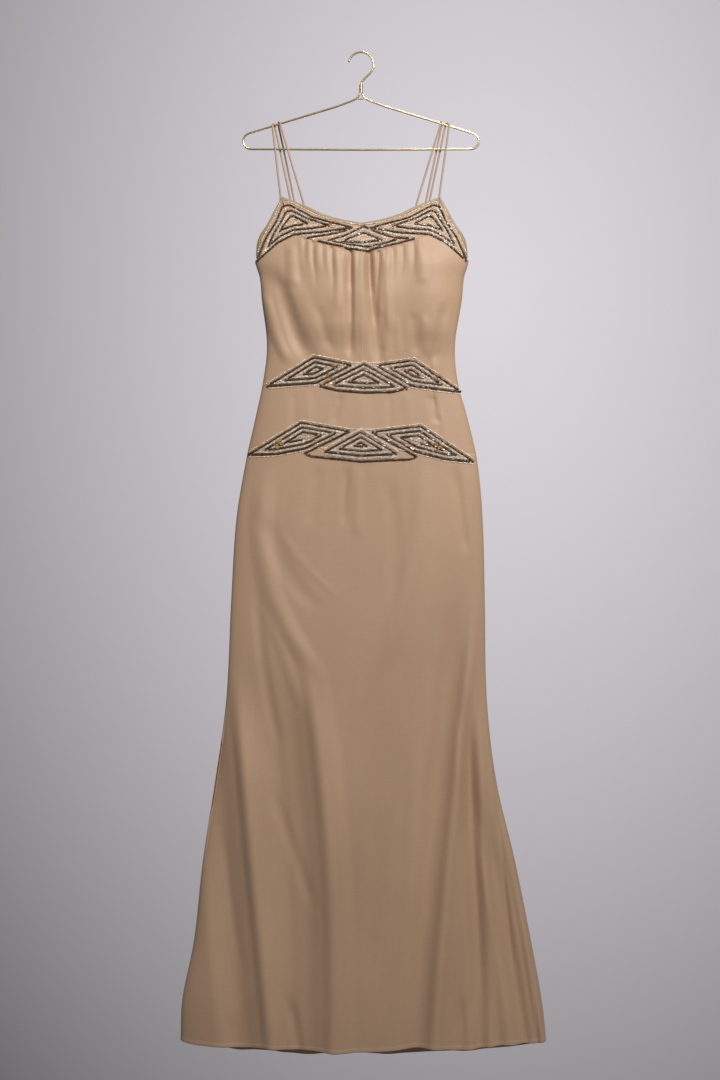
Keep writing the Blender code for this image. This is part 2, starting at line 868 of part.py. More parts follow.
def main():
    for old in list(bpy.data.objects):
        bpy.data.objects.remove(old, do_unlink=True)
    gown = bpy.data.collections.new("beaded_evening_gown")
    bpy.context.scene.collection.children.link(gown)

    bodice_half("bodice_front_left", GATHERS_LEFT, -1, gown)
    bodice_half("bodice_front_right", GATHERS_RIGHT, 1, gown)
    yoke_front(gown)
    front_bindings(gown)
    back_binding(gown)

    shaped_panel("midriff_front", FRONT, MIDRIFF_GRID, below_waist, above_hip, gown)
    shaped_panel("skirt_front", FRONT, SKIRT_FRONT_GRID, below_hip, front_hem, gown)
    shaped_panel("bodice_back", BACK, BODICE_BACK_GRID, back_top, above_hip, gown)
    shaped_panel("skirt_back", BACK, SKIRT_BACK_GRID, below_hip, back_hem, gown)

    bead_band("yoke_beads", YOKE_BEADS, gown)
    bead_band("waist_beads", WAIST_BEADS, gown)
    bead_band("hip_beads", HIP_BEADS, gown)

    for row in STRAPS:
        strap(row, gown)
    hanger_frame(gown)
    hanger_hook(gown)
    hanger_collar(gown)
    hanger_link(gown)


main()
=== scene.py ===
# %% [markdown]
# # Dressing a beaded evening gown
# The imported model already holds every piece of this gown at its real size: two gathered halves of the
# bodice, a midriff, two skirts, the bindings, the straps and the hanger. Here we give them the surface
# that the eye expects. Silk crepe falls in soft folds, bugle and seed beads stand on the cloth in nested
# rows, and the hanger is polished wire. We start by loading the model as a frame that nothing may move.

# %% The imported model
import math
from typing import NamedTuple

import bmesh
import bpy
import numpy as np
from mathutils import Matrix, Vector


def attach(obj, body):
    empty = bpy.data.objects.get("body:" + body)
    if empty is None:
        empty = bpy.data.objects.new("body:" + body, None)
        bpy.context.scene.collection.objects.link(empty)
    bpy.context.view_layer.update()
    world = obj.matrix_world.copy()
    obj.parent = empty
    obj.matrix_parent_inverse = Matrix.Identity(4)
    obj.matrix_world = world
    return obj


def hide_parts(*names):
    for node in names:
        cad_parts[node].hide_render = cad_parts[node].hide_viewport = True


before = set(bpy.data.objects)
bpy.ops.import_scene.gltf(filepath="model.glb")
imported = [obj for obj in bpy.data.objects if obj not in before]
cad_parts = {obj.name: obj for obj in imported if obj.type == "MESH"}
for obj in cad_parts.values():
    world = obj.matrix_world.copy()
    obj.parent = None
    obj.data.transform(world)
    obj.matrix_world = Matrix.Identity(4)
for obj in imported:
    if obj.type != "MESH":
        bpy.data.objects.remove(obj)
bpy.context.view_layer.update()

MM = 0.001

# %% [markdown]
# ## The camera
# A garment catalogue shows a gown square from the front, with a long lens from well away, so that the
# hem isn't seen from above. The camera stands level with the middle of the gown and looks along +Y.
# The lens follows from how much of the gown's plane the upright picture takes in. These few places are in
# metres, as Blender has them. The gown's own sizes, from the next cell on, are in millimetres.

# %% The camera
CAMERA_AWAY = 3.4
CAMERA_SIDE = -0.0017
CAMERA_HEIGHT = -0.818
VIEW_HEIGHT = 1.8144  # of the gown's plane
SENSOR = 36.0

lens = bpy.data.cameras.new("lens")
lens.sensor_fit = "VERTICAL"
lens.sensor_height = SENSOR
lens.lens = SENSOR * CAMERA_AWAY / VIEW_HEIGHT
camera = bpy.data.objects.new("camera", lens)
camera.location = (CAMERA_SIDE, -CAMERA_AWAY, CAMERA_HEIGHT)
camera.rotation_euler = (math.pi / 2, 0, 0)
bpy.context.scene.collection.objects.link(camera)
bpy.context.scene.camera = camera
print("lens", round(lens.lens, 1), "mm")

# %% [markdown]
# ## The cut of the gown
# A dressmaker thinks of a gown in levels: how wide and how deep it is at the chest, the waist, the hip
# and the hem. These levels, in millimetres below the hook, are the same ones that the solid pieces were
# made from, and every fine surface below is worked out from them.

# %% Levels of the gown
FRONT = -1
BACK = 1
WALL = 1.2  # thickness of the solid pieces, whose outer face the cloth keeps
SEAM = 0.3  # gap between neighbouring solid pieces
ROUNDING = 0.8  # how full the sides of the flattened gown are, 1 is an ellipse
SIDE_SEAM = math.radians(90)
MOST_ANGLE = math.radians(85)  # nothing laid on the front goes nearer to a side seam
RELIEF_EASE = math.radians(9)  # folds die away this near to a side seam


class Level(NamedTuple):
    """How far below the hook, half the width, the shift of the middle, and the two depths."""

    drop: float
    half_width: float
    centre: float
    front: float
    back: float


LEVELS = (
    Level(235, 177, 0.0, 8, 8),
    Level(283, 177, 0.5, 15, 14),
    Level(319, 178, 1.0, 22, 19),
    Level(351, 179, 1.5, 28, 23),
    Level(378, 171.5, 1.5, 30, 24),
    Level(415, 168, 1.5, 31, 25),
    Level(490, 158, 0.0, 24, 21),
    Level(549, 163, -1.0, 20, 20),
    Level(617, 179, 0.8, 21, 21),
    Level(684, 194, 1.0, 23, 24),
    Level(785, 207, -2.5, 24, 26),
    Level(919, 213, -5.0, 25, 28),
    Level(1087, 219, -7.5, 26, 28),
    Level(1221, 236, -9.0, 30, 31),
    Level(1356, 262, -3.5, 34, 35),
    Level(1490, 283, 2.5, 38, 39),
    Level(1591, 302, 1.7, 41, 42),
    Level(1660, 307, 4.0, 43, 44),
    Level(1720, 309, 4.0, 44, 45),
)
CHEST = LEVELS[3]
HEM = LEVELS[-2]


class Smooth:
    """A smooth curve through rows of values, read at many places at once."""

    def __init__(self, places, rows):
        self.places = np.array(places, float)
        self.rows = np.array(rows, float)
        order = np.arange(len(self.places))
        after = np.minimum(order + 1, len(order) - 1)
        before = np.maximum(order - 1, 0)
        run = (self.places[after] - self.places[before])[:, None]
        self.slopes = (self.rows[after] - self.rows[before]) / run

    def at(self, place):
        """The rows at these places. Beyond the first and the last place the end rows hold."""
        place = np.asarray(place, float)
        low = np.clip(np.searchsorted(self.places, place) - 1, 0, len(self.places) - 2)
        span = (self.places[low + 1] - self.places[low])[..., None]
        t = np.clip((place[..., None] - self.places[low][..., None]) / span, 0, 1)
        leave = t * (1 - t) * (1 - t) * self.slopes[low]
        arrive = t * t * (t - 1) * self.slopes[low + 1]
        rise = t * t * (3 - 2 * t)
        return self.rows[low] + (self.rows[low + 1] - self.rows[low]) * rise + span * (leave + arrive)


LEVEL_CURVE = Smooth([row.drop for row in LEVELS], [row[1:] for row in LEVELS])
CHEST_HALF = CHEST.half_width - WALL
print("levels", len(LEVELS), "chest", 2 * CHEST_HALF)

# %% [markdown]
# ## Edges
# The yoke is a shaped band. Its upper edge runs from the underarm up to a peak at the strap and down
# along the neckline, and its lower edge is the seam that the gathered bodice hangs from. Each edge needs
# only a few points, because a smooth curve runs through them.

# %% Edges of the yoke, the seams and the hems
YOKE_LOWER = (
    (0, 337.5), (33, 333.5), (64, 325), (92, 315), (111, 309), (126, 311.5), (141, 321), (161, 339),
    (170, 348), (178, 352),
)
NECKLINE = ((134, 242), (117, 249), (89, 260), (67, 271), (35, 281), (0, 287.5))
ARMHOLE = ((134, 242), (146, 263), (161.5, 292), (171, 306), (176, 322), (176, 346))
YOKE_TURN = 126.0  # the lower edge point that faces the strap peak
YOKE_TIP = math.radians(72.5)
WAIST_DROP, WAIST_FALL = 546.0, 11.0
HIP_DROP, HIP_FALL = 662.0, 12.0
HEM_SIDE, FRONT_HEM_FALL, BACK_HEM_FALL = 1656.0, 12.0, 34.0
BACK_TOP, BACK_SCOOP = 356.0, 7.0
FRONT_HEM_WAVES = ((-165, 45, -3), (-45, 40, 2), (95, 80, -5), (235, 60, -4))
BACK_HEM_WAVES = ((-110, 60, 3), (-40, 40, 3), (60, 60, 1.5))


def along(points):
    """A smooth curve through points, with its places measured along it from 0 to 1."""
    lengths = [0.0]
    for start, end in zip(points, points[1:]):
        lengths.append(lengths[-1] + math.dist(start, end))
    return Smooth([length / lengths[-1] for length in lengths], points)


def swell(across):
    """A soft hump, 1 in the middle and 0 from -1 and 1 outwards."""
    return 0.5 + 0.5 * np.cos(np.pi * np.clip(across, -1, 1))


YOKE_LOWER_CURVE = Smooth([out for out, drop in YOKE_LOWER], [(drop,) for out, drop in YOKE_LOWER])
NECKLINE_CURVE = along(NECKLINE)
ARMHOLE_CURVE = along(ARMHOLE)


def yoke_seam(out):
    """The drop of the gathered seam, by the distance out from the middle."""
    return YOKE_LOWER_CURVE.at(out)[..., 0]


def waist_seam(angle):
    """The drop of the seam at the waist, by the angle round the gown."""
    return WAIST_DROP + WAIST_FALL * np.sin(angle) ** 2


def hip_seam(angle):
    """The drop of the seam at the hip, in front and behind."""
    return HIP_DROP + HIP_FALL * np.sin(angle) ** 2


def back_top(angle):
    """The drop of the back's top edge, which is lowest in the middle."""
    return BACK_TOP + BACK_SCOOP * np.cos(angle)


def wavy(waves, angle):
    """How much lower a hem hangs where its waves are, each given as its place, half width and fall."""
    x = HEM.half_width * np.sin(angle)
    return sum(fall * swell((x - place) / half_width) for place, half_width, fall in waves)


def front_hem(angle):
    """The drop of the front skirt's hem."""
    return HEM_SIDE + FRONT_HEM_FALL * np.cos(angle) + wavy(FRONT_HEM_WAVES, angle)


def back_hem(angle):
    """The drop of the back skirt's hem, which is cut longer in the middle."""
    return HEM_SIDE + BACK_HEM_FALL * np.cos(angle) + wavy(BACK_HEM_WAVES, angle)


print("yoke depth in the middle", round(float(yoke_seam(0.0)) - NECKLINE[-1][1], 1), "mm")

# %% [markdown]
# ## Folds and creases
# Crepe that is cut on the bias hangs in long soft flutes. They could be simulated, but then they would
# fall where they like. Here each one is a row in a table: where it starts and ends, where it passes in
# between, how wide it is and how high. A negative height is a valley. The long folds below are those of
# the solids.

# %% Long folds


class Fold(NamedTuple):
    """The drops of its ends, its places at the top, middle and end, its half width and its height."""

    top: float
    end: float
    x_top: float
    x_middle: float
    x_end: float
    half_width: float
    height: float


FRONT_FOLDS = (
    Fold(325, 490, -122, -118, -114, 44, 3.5),
    Fold(325, 490, 118, 116, 112, 44, 3.5),
    Fold(370, 512, -137, -118, -97, 18, -2.4),
    Fold(436, 510, 89, 90, 92, 14, -1.8),
    Fold(572, 626, 116, 121, 127, 12, -2.0),
    Fold(572, 626, -34, -40, -46, 12, -1.5),
    Fold(682, 1060, -148, -158, -60, 26, 4.0),
    Fold(682, 1060, 110, 84, 22, 26, 3.0),
    Fold(1010, 1900, -246, -204, -154, 34, -5.5),
    Fold(1010, 1900, -209, -167, -117, 24, 4.5),
    Fold(975, 1900, -134, -83, -96, 28, -5.0),
    Fold(975, 1900, -90, -39, -52, 32, 5.5),
    Fold(880, 1900, 166, 112, 72, 28, -4.5),
    Fold(880, 1900, 200, 146, 106, 24, 4.5),
    Fold(1040, 1900, 181, 202, 265, 20, -4.5),
    Fold(1040, 1900, 209, 230, 293, 22, 3.5),
    Fold(1230, 1900, 228, 282, 330, 12, -3.0),
    Fold(1570, 1760, -122, -104, -92, 14, -4.0),
    Fold(1570, 1760, 168, 166, 166, 13, -4.0),
)
BACK_FOLDS = (
    Fold(372, 520, -70, -66, -60, 26, -2.5),
    Fold(372, 520, 64, 62, 58, 24, -2.5),
    Fold(372, 600, 0, 2, 4, 30, 2.5),
    Fold(692, 1010, 150, 120, 96, 28, -4.0),
    Fold(692, 980, -128, -112, -84, 30, 4.0),
    Fold(960, 1900, 148, 170, 190, 30, -8.0),
    Fold(1010, 1900, 60, 52, 30, 36, -8.0),
    Fold(940, 1900, -60, -70, -96, 34, -8.0),
    Fold(1100, 1900, -170, -196, -216, 28, -8.0),
    Fold(1300, 1900, -10, -24, -34, 30, 5.0),
)
FOLD_EASE = 0.22  # share of a fold's length in which it rises, and in which it dies away


def eased(t):
    """0 at both ends of a fold, 1 along most of it."""
    edge = np.clip(np.minimum(t, 1 - t) / FOLD_EASE, 0, 1)
    return edge * edge * (3 - 2 * edge)


def fold_height(folds, x, drop):
    """How far all folds together move the cloth out. Each follows a parabola through its three places."""
    total = np.zeros_like(x)
    for fold in folds:
        t = (drop - fold.top) / (fold.end - fold.top)
        path = fold.x_top * (1 - t) * (1 - 2 * t) + fold.x_end * t * (2 * t - 1)
        path += fold.x_middle * 4 * t * (1 - t)
        total += fold.height * eased(np.clip(t, 0, 1)) * swell((x - path) / fold.half_width)
    return total


print("long folds", len(FRONT_FOLDS), "in front and", len(BACK_FOLDS), "behind")

# %% [markdown]
# ## Creases
# The solids keep to the large forms. The creases are added here, each in the same kind of row. Most of them
# lift the silk by a millimetre or two: small pulls at the seams, and soft hollows between the gathers.
# Others lie along a long fold of the skirt or of the bust and make it broader and deeper, up to twelve
# millimetres in the valley at the far right. A deep gather in the middle of the bodice is three valleys of
# different length in one place, so that it dies away softly.

# %% Creases
FRONT_CREASES = (
    Fold(318, 400, -117, -115, -112, 15, 2.2),
    Fold(318, 396, 101, 102, 103, 14, 1.8),
    Fold(330, 480, 43, 44, 49, 11, 2.2),
    Fold(326, 450, -39, -38, -37, 11, 1.8),
    Fold(322, 405, -21, -20, -20, 10, -3.0),
    Fold(322, 455, -21, -20, -18, 11, -3.2),
    Fold(322, 528, -21, -20, -15, 12, -3.8),
    Fold(332, 500, 0, 0, 1, 10, 1.4),
    Fold(322, 415, 13, 14, 17, 11, -3.6),
    Fold(322, 470, 13, 16, 22, 12, -3.8),
    Fold(322, 545, 13, 20, 34, 15, -5.0),
    Fold(396, 530, -166, -147, -118, 15, 2.8),
    Fold(290, 500, -46, -44, -40, 84, 7.5),
    Fold(325, 490, -122, -118, -114, 44, -3.0),
    Fold(290, 515, 128, 124, 118, 72, 5.5),
    Fold(352, 535, -160, -122, -80, 26, -3.5),
    Fold(352, 535, -128, -90, -50, 24, 1.8),
    Fold(570, 597, -42, -42, -41, 4, 0.7),
    Fold(425, 500, -70, -63, -54, 13, -1.2),
    Fold(430, 516, -17, -19, -20, 10, -1.3),
    Fold(400, 505, -46, -44, -40, 12, 0.8),
    Fold(430, 516, 32, 35, 37, 11, -1.6),
    Fold(440, 512, 58, 61, 64, 9, 0.8),
    Fold(420, 530, 138, 130, 120, 13, -2.4),
    Fold(440, 516, 106, 109, 113, 12, 1.2),
    Fold(506, 604, 113, 118, 124, 7, -1.7),
    Fold(566, 650, -112, -111, -110, 12, -0.9),
    Fold(566, 655, -88, -88, -90, 10, 0.7),
    Fold(566, 642, 46, 48, 47, 8, -0.7),
    Fold(566, 650, 78, 80, 84, 14, 0.7),
    Fold(566, 650, 0, 1, 2, 20, 0.7),
    Fold(600, 655, 134, 138, 140, 9, 0.8),
    Fold(688, 800, -24, -27, -29, 11, -1.7),
    Fold(688, 820, -5, -6, -6, 15, 1.2),
    Fold(688, 800, -72, -78, -86, 18, -1.2),
    Fold(700, 930, 38, 57, 46, 20, -1.5),
    Fold(688, 850, 156, 166, 176, 14, -2.4),
    Fold(770, 945, -162, -130, -66, 26, -1.8),
    Fold(800, 925, -134, -92, -20, 11, 0.7),
    Fold(890, 1180, -174, -162, -132, 15, -2.0),
    Fold(930, 1110, -160, -126, -98, 15, 1.4),
    Fold(1225, 1450, -152, -112, -72, 17, -1.8),
    Fold(1140, 1480, 92, 88, 84, 24, 1.8),
    Fold(1250, 1570, 32, 24, 14, 28, -1.6),
    Fold(1300, 1560, -230, -216, -196, 12, -1.1),
    Fold(1380, 1700, 60, 42, 28, 24, -1.2),
    Fold(1240, 1560, 224, 242, 256, 7, -1.6),
    Fold(1330, 1760, 264, 288, 303, 6, -1.6),
    Fold(1450, 1800, 124, 130, 134, 20, 1.2),
    Fold(1590, 1800, -146, -136, -126, 10, 1.6),
    Fold(1590, 1800, 184, 186, 186, 10, 1.6),
    Fold(1600, 1800, -214, -206, -196, 18, -1.8),
    Fold(1630, 1800, 20, 24, 26, 16, -1.2),
    Fold(1010, 1900, -268, -226, -176, 38, -9.0),
    Fold(1010, 1900, -214, -172, -122, 16, 3.4),
    Fold(1000, 1900, -166, -115, -128, 50, -11.0),
    Fold(975, 1900, -101, -50, -63, 16, 3.4),
    Fold(880, 1900, 164, 110, 70, 34, -4.5),
    Fold(880, 1900, 197, 143, 103, 15, 3.8),
    Fold(1040, 1900, 170, 190, 207, 20, -7.5),
    Fold(1040, 1900, 191, 211, 228, 15, 4.6),
    Fold(1230, 1900, 198, 258, 312, 25, -12.0),
    Fold(1230, 1900, 227, 288, 340, 11, 5.5),
)
BACK_CREASES = (
    Fold(380, 500, -110, -104, -96, 14, -1.4),
    Fold(390, 520, 112, 104, 92, 16, -1.4),
    Fold(500, 640, -44, -40, -36, 14, -1.0),
    Fold(520, 650, 40, 44, 46, 14, -1.0),
    Fold(520, 648, 112, 118, 122, 12, -1.4),
    Fold(690, 840, -30, -32, -34, 16, -1.8),
    Fold(690, 860, 46, 44, 40, 18, 1.4),
    Fold(700, 900, 160, 156, 150, 14, -1.6),
    Fold(800, 1000, -150, -140, -120, 16, -1.8),
    Fold(1000, 1300, 110, 124, 132, 18, 1.8),
    Fold(1050, 1350, -20, -10, -4, 26, -2.0),
    Fold(1200, 1500, -140, -150, -156, 18, 1.8),
    Fold(1300, 1700, 90, 98, 104, 18, -2.0),
    Fold(1350, 1760, 226, 244, 256, 10, -2.2),
    Fold(1400, 1760, -240, -252, -262, 10, -2.2),
    Fold(1600, 1800, 10, 14, 16, 14, -2.4),
    Fold(1600, 1800, -130, -134, -136, 14, -2.4),
)
print("creases", len(FRONT_CREASES) + len(BACK_CREASES))

# %% [markdown]
# ## Gathers
# Two threads are run along the top of each bodice half and drawn up, so that the cloth stands in small
# pleats just below the yoke and lets go of them at different lengths. The twelve larger ones are in the
# solids. Between them a gathering thread leaves many smaller tucks of uneven depth, and the cloth puffs out
# a little below the seam before it falls.

# %% Gathers below the yoke


class Gather(NamedTuple):
    """How far out it hangs from the seam, its length and its depth."""

    out: float
    length: float
    depth: float


GATHERS_LEFT = (
    Gather(6, 50, 1.2), Gather(17, 165, 4.2), Gather(33, 60, 2.0), Gather(50, 85, 3.2), Gather(65, 60, 2.2),
    Gather(81, 90, 3.0), Gather(95, 55, 2.2),
)
GATHERS_RIGHT = (
    Gather(14, 60, 2.0), Gather(28, 170, 4.4), Gather(52, 60, 2.2), Gather(68, 70, 2.8), Gather(87, 75, 2.6),
)
GATHER_START = 3.0
GATHER_END = 108.0  # how far out the thread is drawn up
GATHER_FADE = 12.0
LAST_SPAN = 16.0  # from the outermost gather to where a further one would be
TUCK_STEP = 4.3
TUCK_DEPTH = 0.75
TUCK_LENGTH = 19.0
TUCK_START = 1.0
TUCK_UNEVEN = ((0.45, 0.21, 0.0), (0.25, 0.53, 1.0))
TUCK_WANDER = ((3.5, 0.07, 1.0), (1.5, 0.23, 0.0))
PUFF_HEIGHT = 1.6
PUFF_DROP = 14.0


def gather_spans(gathers):
    """The half width of each gather: half the way to its nearest neighbour."""
    outs = [0.0] + [gather.out for gather in gathers] + [gathers[-1].out + LAST_SPAN]
    return [min(here - before, after - here) / 2 for before, here, after in zip(outs, outs[1:], outs[2:])]


def sum_of_waves(rows, x):
    """A sum of waves, each given as its swing, its turn for each millimetre and its start."""
    return sum(swing * np.sin(x * turn + start) for swing, turn, start in rows)


def gather_height(x, drop):
    """Gathers, the small tucks between them and the puff, by the place across the chest."""
    out = np.abs(x)
    below = drop - yoke_seam(out)
    total = np.zeros_like(out)
    for gathers, side in ((GATHERS_LEFT, x < 0), (GATHERS_RIGHT, x >= 0)):
        for gather, span in zip(gathers, gather_spans(gathers)):
            start = np.clip(below / GATHER_START, 0, 1)
            fade = np.clip(1 - below / gather.length, 0, 1)
            rise = start * fade * fade * (3 - 2 * fade)
            total -= side * gather.depth * rise * swell((out - gather.out) / span)
    gathered = np.clip((GATHER_END - out) / GATHER_FADE, 0, 1)
    uneven = 1 + sum_of_waves(TUCK_UNEVEN, x)
    tuck = np.sin(2 * np.pi * (x + sum_of_waves(TUCK_WANDER, x)) / TUCK_STEP)
    fade = np.clip(1 - below / (TUCK_LENGTH * uneven), 0, 1) * np.clip(below / TUCK_START, 0, 1)
    puff = np.clip(below / PUFF_DROP, 0, 4)
    total += gathered * TUCK_DEPTH * uneven * fade * fade * tuck
    total += gathered * PUFF_HEIGHT * puff * np.exp(1 - puff) * (below > 0)
    return total


gather_count = len(GATHERS_LEFT) + len(GATHERS_RIGHT)
print("gathers", gather_count, "and about", round(2 * GATHER_END / TUCK_STEP), "tucks")

# %% [markdown]
# ## The surface of the gown
# A place on the gown is an angle round it, a drop and a side. The level gives an ellipse with slightly
# full sides, the folds move it in and out, and the normal lets us stand anything on the cloth: a bead, a
# binding or a stitch. All later pieces ask this one function, so they can't part from the cloth.

# %% Places on the gown


def inside(angle, drop, side):
    """The inside of the cloth, in millimetres."""
    angle, drop = np.broadcast_arrays(np.asarray(angle, float), np.asarray(drop, float))
    half_width, centre, front, back = np.moveaxis(LEVEL_CURVE.at(drop), -1, 0)
    depth = (front if side == FRONT else back) - WALL
    x = centre + (half_width - WALL) * np.sin(angle)
    if side == FRONT:
        height = fold_height(FRONT_FOLDS, x, drop) + fold_height(FRONT_CREASES, x, drop)
        height += gather_height(CHEST_HALF * np.sin(angle), drop)
    else:
        height = fold_height(BACK_FOLDS, x, drop) + fold_height(BACK_CREASES, x, drop)
    near_side = np.minimum((SIDE_SEAM - np.abs(angle)) / RELIEF_EASE, 1)
    out = depth * np.maximum(np.cos(angle), 0) ** ROUNDING + height * near_side
    return np.stack([x, side * (out + SEAM / 2), -drop], -1)


def outward(angle, drop, side):
    """The direction that stands square on the cloth, from places a little to all sides."""
    turn, step = math.radians(0.5), 0.5
    across = inside(angle + turn, drop, side) - inside(angle - turn, drop, side)
    upward = inside(angle, drop - step, side) - inside(angle, drop + step, side)
    normal = np.cross(across, upward) * -side
    return normal / np.linalg.norm(normal, axis=-1, keepdims=True)


def on_gown(angle, drop, side, lift):
    """A place that stands this far out from the inside of the cloth."""
    angle, drop = np.broadcast_arrays(np.asarray(angle, float), np.asarray(drop, float))
    lift = np.broadcast_to(np.asarray(lift, float), angle.shape)[..., None]
    return inside(angle, drop, side) + outward(angle, drop, side) * lift


def angle_at(x, drop):
    """The angle of a place given by its distance across."""
    half_width, centre = np.moveaxis(LEVEL_CURVE.at(drop), -1, 0)[:2]
    most = math.sin(MOST_ANGLE)
    return np.arcsin(np.clip((x - centre) / (half_width - WALL), -most, most))


def chest_angle(out):
    """The angle of a place on the yoke given by its distance out from the middle of the chest."""
    most = math.sin(MOST_ANGLE)
    return np.arcsin(np.clip(np.asarray(out, float) / CHEST_HALF, -most, most))


print("front at the waist", [round(float(size), 1) for size in on_gown(0.0, 549.0, FRONT, WALL)])

# %% [markdown]
# ## Mixing a finish
# A shader is a sum of small ideas: a colour, a darker colour where a mask says so, a little height. The
# class below lets us write such sums as plain Python, and each sign adds the node that Blender needs.
# Colours go through Mix nodes, because a Math node would turn them grey.

# %% Sums that become nodes


class Amount:
    """A number that varies over a surface. Sums with it add Math nodes."""

    def __init__(self, tree, socket):
        self.tree = tree
        self.socket = socket

    def math(self, operation, first, second):
        return self.tree.node("ShaderNodeMath", {"operation": operation}, {0: first, 1: second})

    def __add__(self, other):
        return self.math("ADD", self, other)

    __radd__ = __add__

    def __sub__(self, other):
        return self.math("SUBTRACT", self, other)

    def __rsub__(self, other):
        return self.math("SUBTRACT", other, self)

    def __mul__(self, other):
        return self.math("MULTIPLY", self, other)

    __rmul__ = __mul__

    def __truediv__(self, other):
        return self.math("DIVIDE", self, other)

    def __pow__(self, other):
        return self.math("POWER", self, other)

    def at_least(self, other):
        return self.math("MAXIMUM", self, other)

    def between(self, low, high):
        """0 below low, 1 above high, smooth in between."""
        settings = {"interpolation_type": "SMOOTHSTEP"}
        return self.tree.node("ShaderNodeMapRange", settings, {0: self, 1: low, 2: high})


class Tree:
    """Nodes of a material or of the world."""

    def __init__(self, owner):
        owner.use_nodes = True
        self.nodes = owner.node_tree.nodes
        self.links = owner.node_tree.links

    def node(self, kind, settings, sockets, output=0):
        made = self.nodes.new(kind)
        for label, value in settings.items():
            setattr(made, label, value)
        for label, value in sockets.items():
            self.feed(made.inputs[label], value)
        return Amount(self, made.outputs[output])

    def feed(self, socket, value):
        if isinstance(value, Amount):
            self.links.new(value.socket, socket)
        else:
            socket.default_value = value


class Finish(Tree):
    """A material: a Principled shader, its constants, and the nodes that feed it."""

    def __init__(self, name, constants):
        self.material = bpy.data.materials.new(name)
        super().__init__(self.material)
        self.shader = self.nodes["Principled BSDF"]
        for label, value in constants.items():
            self.shader.inputs[label].default_value = value
        self.place = self.node("ShaderNodeTexCoord", {}, {}, "Object")

    def stretched(self, scale):
        settings = {"operation": "MULTIPLY"}
        return self.node("ShaderNodeVectorMath", settings, {0: self.place, 1: scale})

    def noise(self, scale, detail=2.0, roughness=0.5):
        """Soft noise from 0 to 1. The scale is how many blotches a metre holds along each axis."""
        sockets = {"Vector": self.stretched(scale), "Scale": 1.0, "Detail": detail, "Roughness": roughness}
        return self.node("ShaderNodeTexNoise", {}, sockets)

    def threads(self, direction, step, vector=None):
        """Parallel threads, one every step, from 0 between them to 1 on them."""
        settings = {"wave_type": "BANDS", "bands_direction": direction}
        sockets = {"Vector": vector or self.place, "Scale": math.pi / (10 * step), "Distortion": 0.0}
        return self.node("ShaderNodeTexWave", settings, sockets, 1)

    def mixed(self, mask, first, second):
        """The first colour where the mask is 0, the second where it is 1."""
        settings = {"data_type": "RGBA"}
        return self.node("ShaderNodeMix", settings, {0: mask, 6: (*first, 1.0), 7: (*second, 1.0)}, 2)

    def colour(self, value):
        self.feed(self.shader.inputs["Base Color"], value)

    def roughness(self, value):
        self.feed(self.shader.inputs["Roughness"], value)

    def bump(self, height, depth, strength=1.0):
        sockets = {"Height": height, "Distance": depth, "Strength": strength}
        self.feed(self.shader.inputs["Normal"], self.node("ShaderNodeBump", {}, sockets))


print("ready to mix finishes")

# %% [markdown]
# ## Silk crepe
# Crepe is woven from hard twisted threads, so its face is pebbled and dull, with a faint sheen on the
# curve of a fold. The threads are a little under half a millimetre apart, and here and there one is
# thicker, which leaves short streaks along and across the cloth. Colour moves only a little, because silk
# is dyed evenly. The bindings are cut from a darker piece and the straps from a pinker one.

# %% Silk crepe
CREPE_LIGHT = (0.475, 0.308, 0.19)
CREPE_DEEP = (0.4, 0.254, 0.154)
THREAD_STEP = 0.00045  # in metres, as all sizes in a material
CREPE_RELIEF = 0.00022


def crepe(name, light, deep, sheen):
    constants = {"Sheen Weight": sheen, "Sheen Roughness": 0.45, "Specular IOR Level": 0.6}
    cloth = Finish(name, {**constants, "Sheen Tint": (1.0, 0.9, 0.8, 1.0)})
    clouds = cloth.noise((7.0, 7.0, 3.5), 3.0)
    streaks = cloth.noise((240.0, 240.0, 26.0), 2.0)
    slubs = cloth.noise((60.0, 60.0, 420.0), 2.0)
    pebbles = cloth.noise((1500.0, 1500.0, 1500.0), 1.0)
    shade = clouds * 0.7 + streaks * 0.12 + slubs * 0.18
    cloth.colour(cloth.mixed((shade - 0.32) * 2.6, deep, light))
    cloth.roughness(0.47 + pebbles * 0.14)
    weave = cloth.threads("X", THREAD_STEP) + cloth.threads("Z", THREAD_STEP)
    cloth.bump(weave * 0.2 + pebbles * 0.55 + streaks * 0.15 + slubs * 0.25, CREPE_RELIEF, 0.55)
    return cloth.material


SILK_CREPE = crepe("silk_crepe", CREPE_LIGHT, CREPE_DEEP, 0.25)
BINDING_SILK = crepe("binding_silk", (0.335, 0.245, 0.145), (0.26, 0.19, 0.11), 0.2)
STRAP_SILK = crepe("strap_silk", (0.43, 0.29, 0.2), (0.33, 0.215, 0.14), 0.2)
print("thread step", THREAD_STEP * 1000, "mm")

# %% [markdown]
# ## Glass beads
# The dark rows are bugle beads, short tubes of bronze lustred glass. The light rows are silver lined seed
# beads, and a few amber ones warm the tips. No two beads are quite alike, so each island of the mesh
# takes its own shade. Their gloss makes the small lights that glitter when the gown moves. A few seeds get
# a pale, bright glass of their own: a painted highlight for seeds that turn their lining to the light.

# %% Glass beads


def glass(name, light, deep, roughness, metallic):
    bead = Finish(name, {"Metallic": metallic, "Coat Weight": 0.4, "Coat Roughness": 0.16})
    own = bead.node("ShaderNodeNewGeometry", {}, {}, "Random Per Island")
    grain = bead.noise((900.0, 900.0, 900.0), 1.0)
    bead.colour(bead.mixed(own ** 1.6 * 0.8 + grain * 0.2, deep, light))
    bead.roughness(roughness + own * 0.12)
    return bead.material


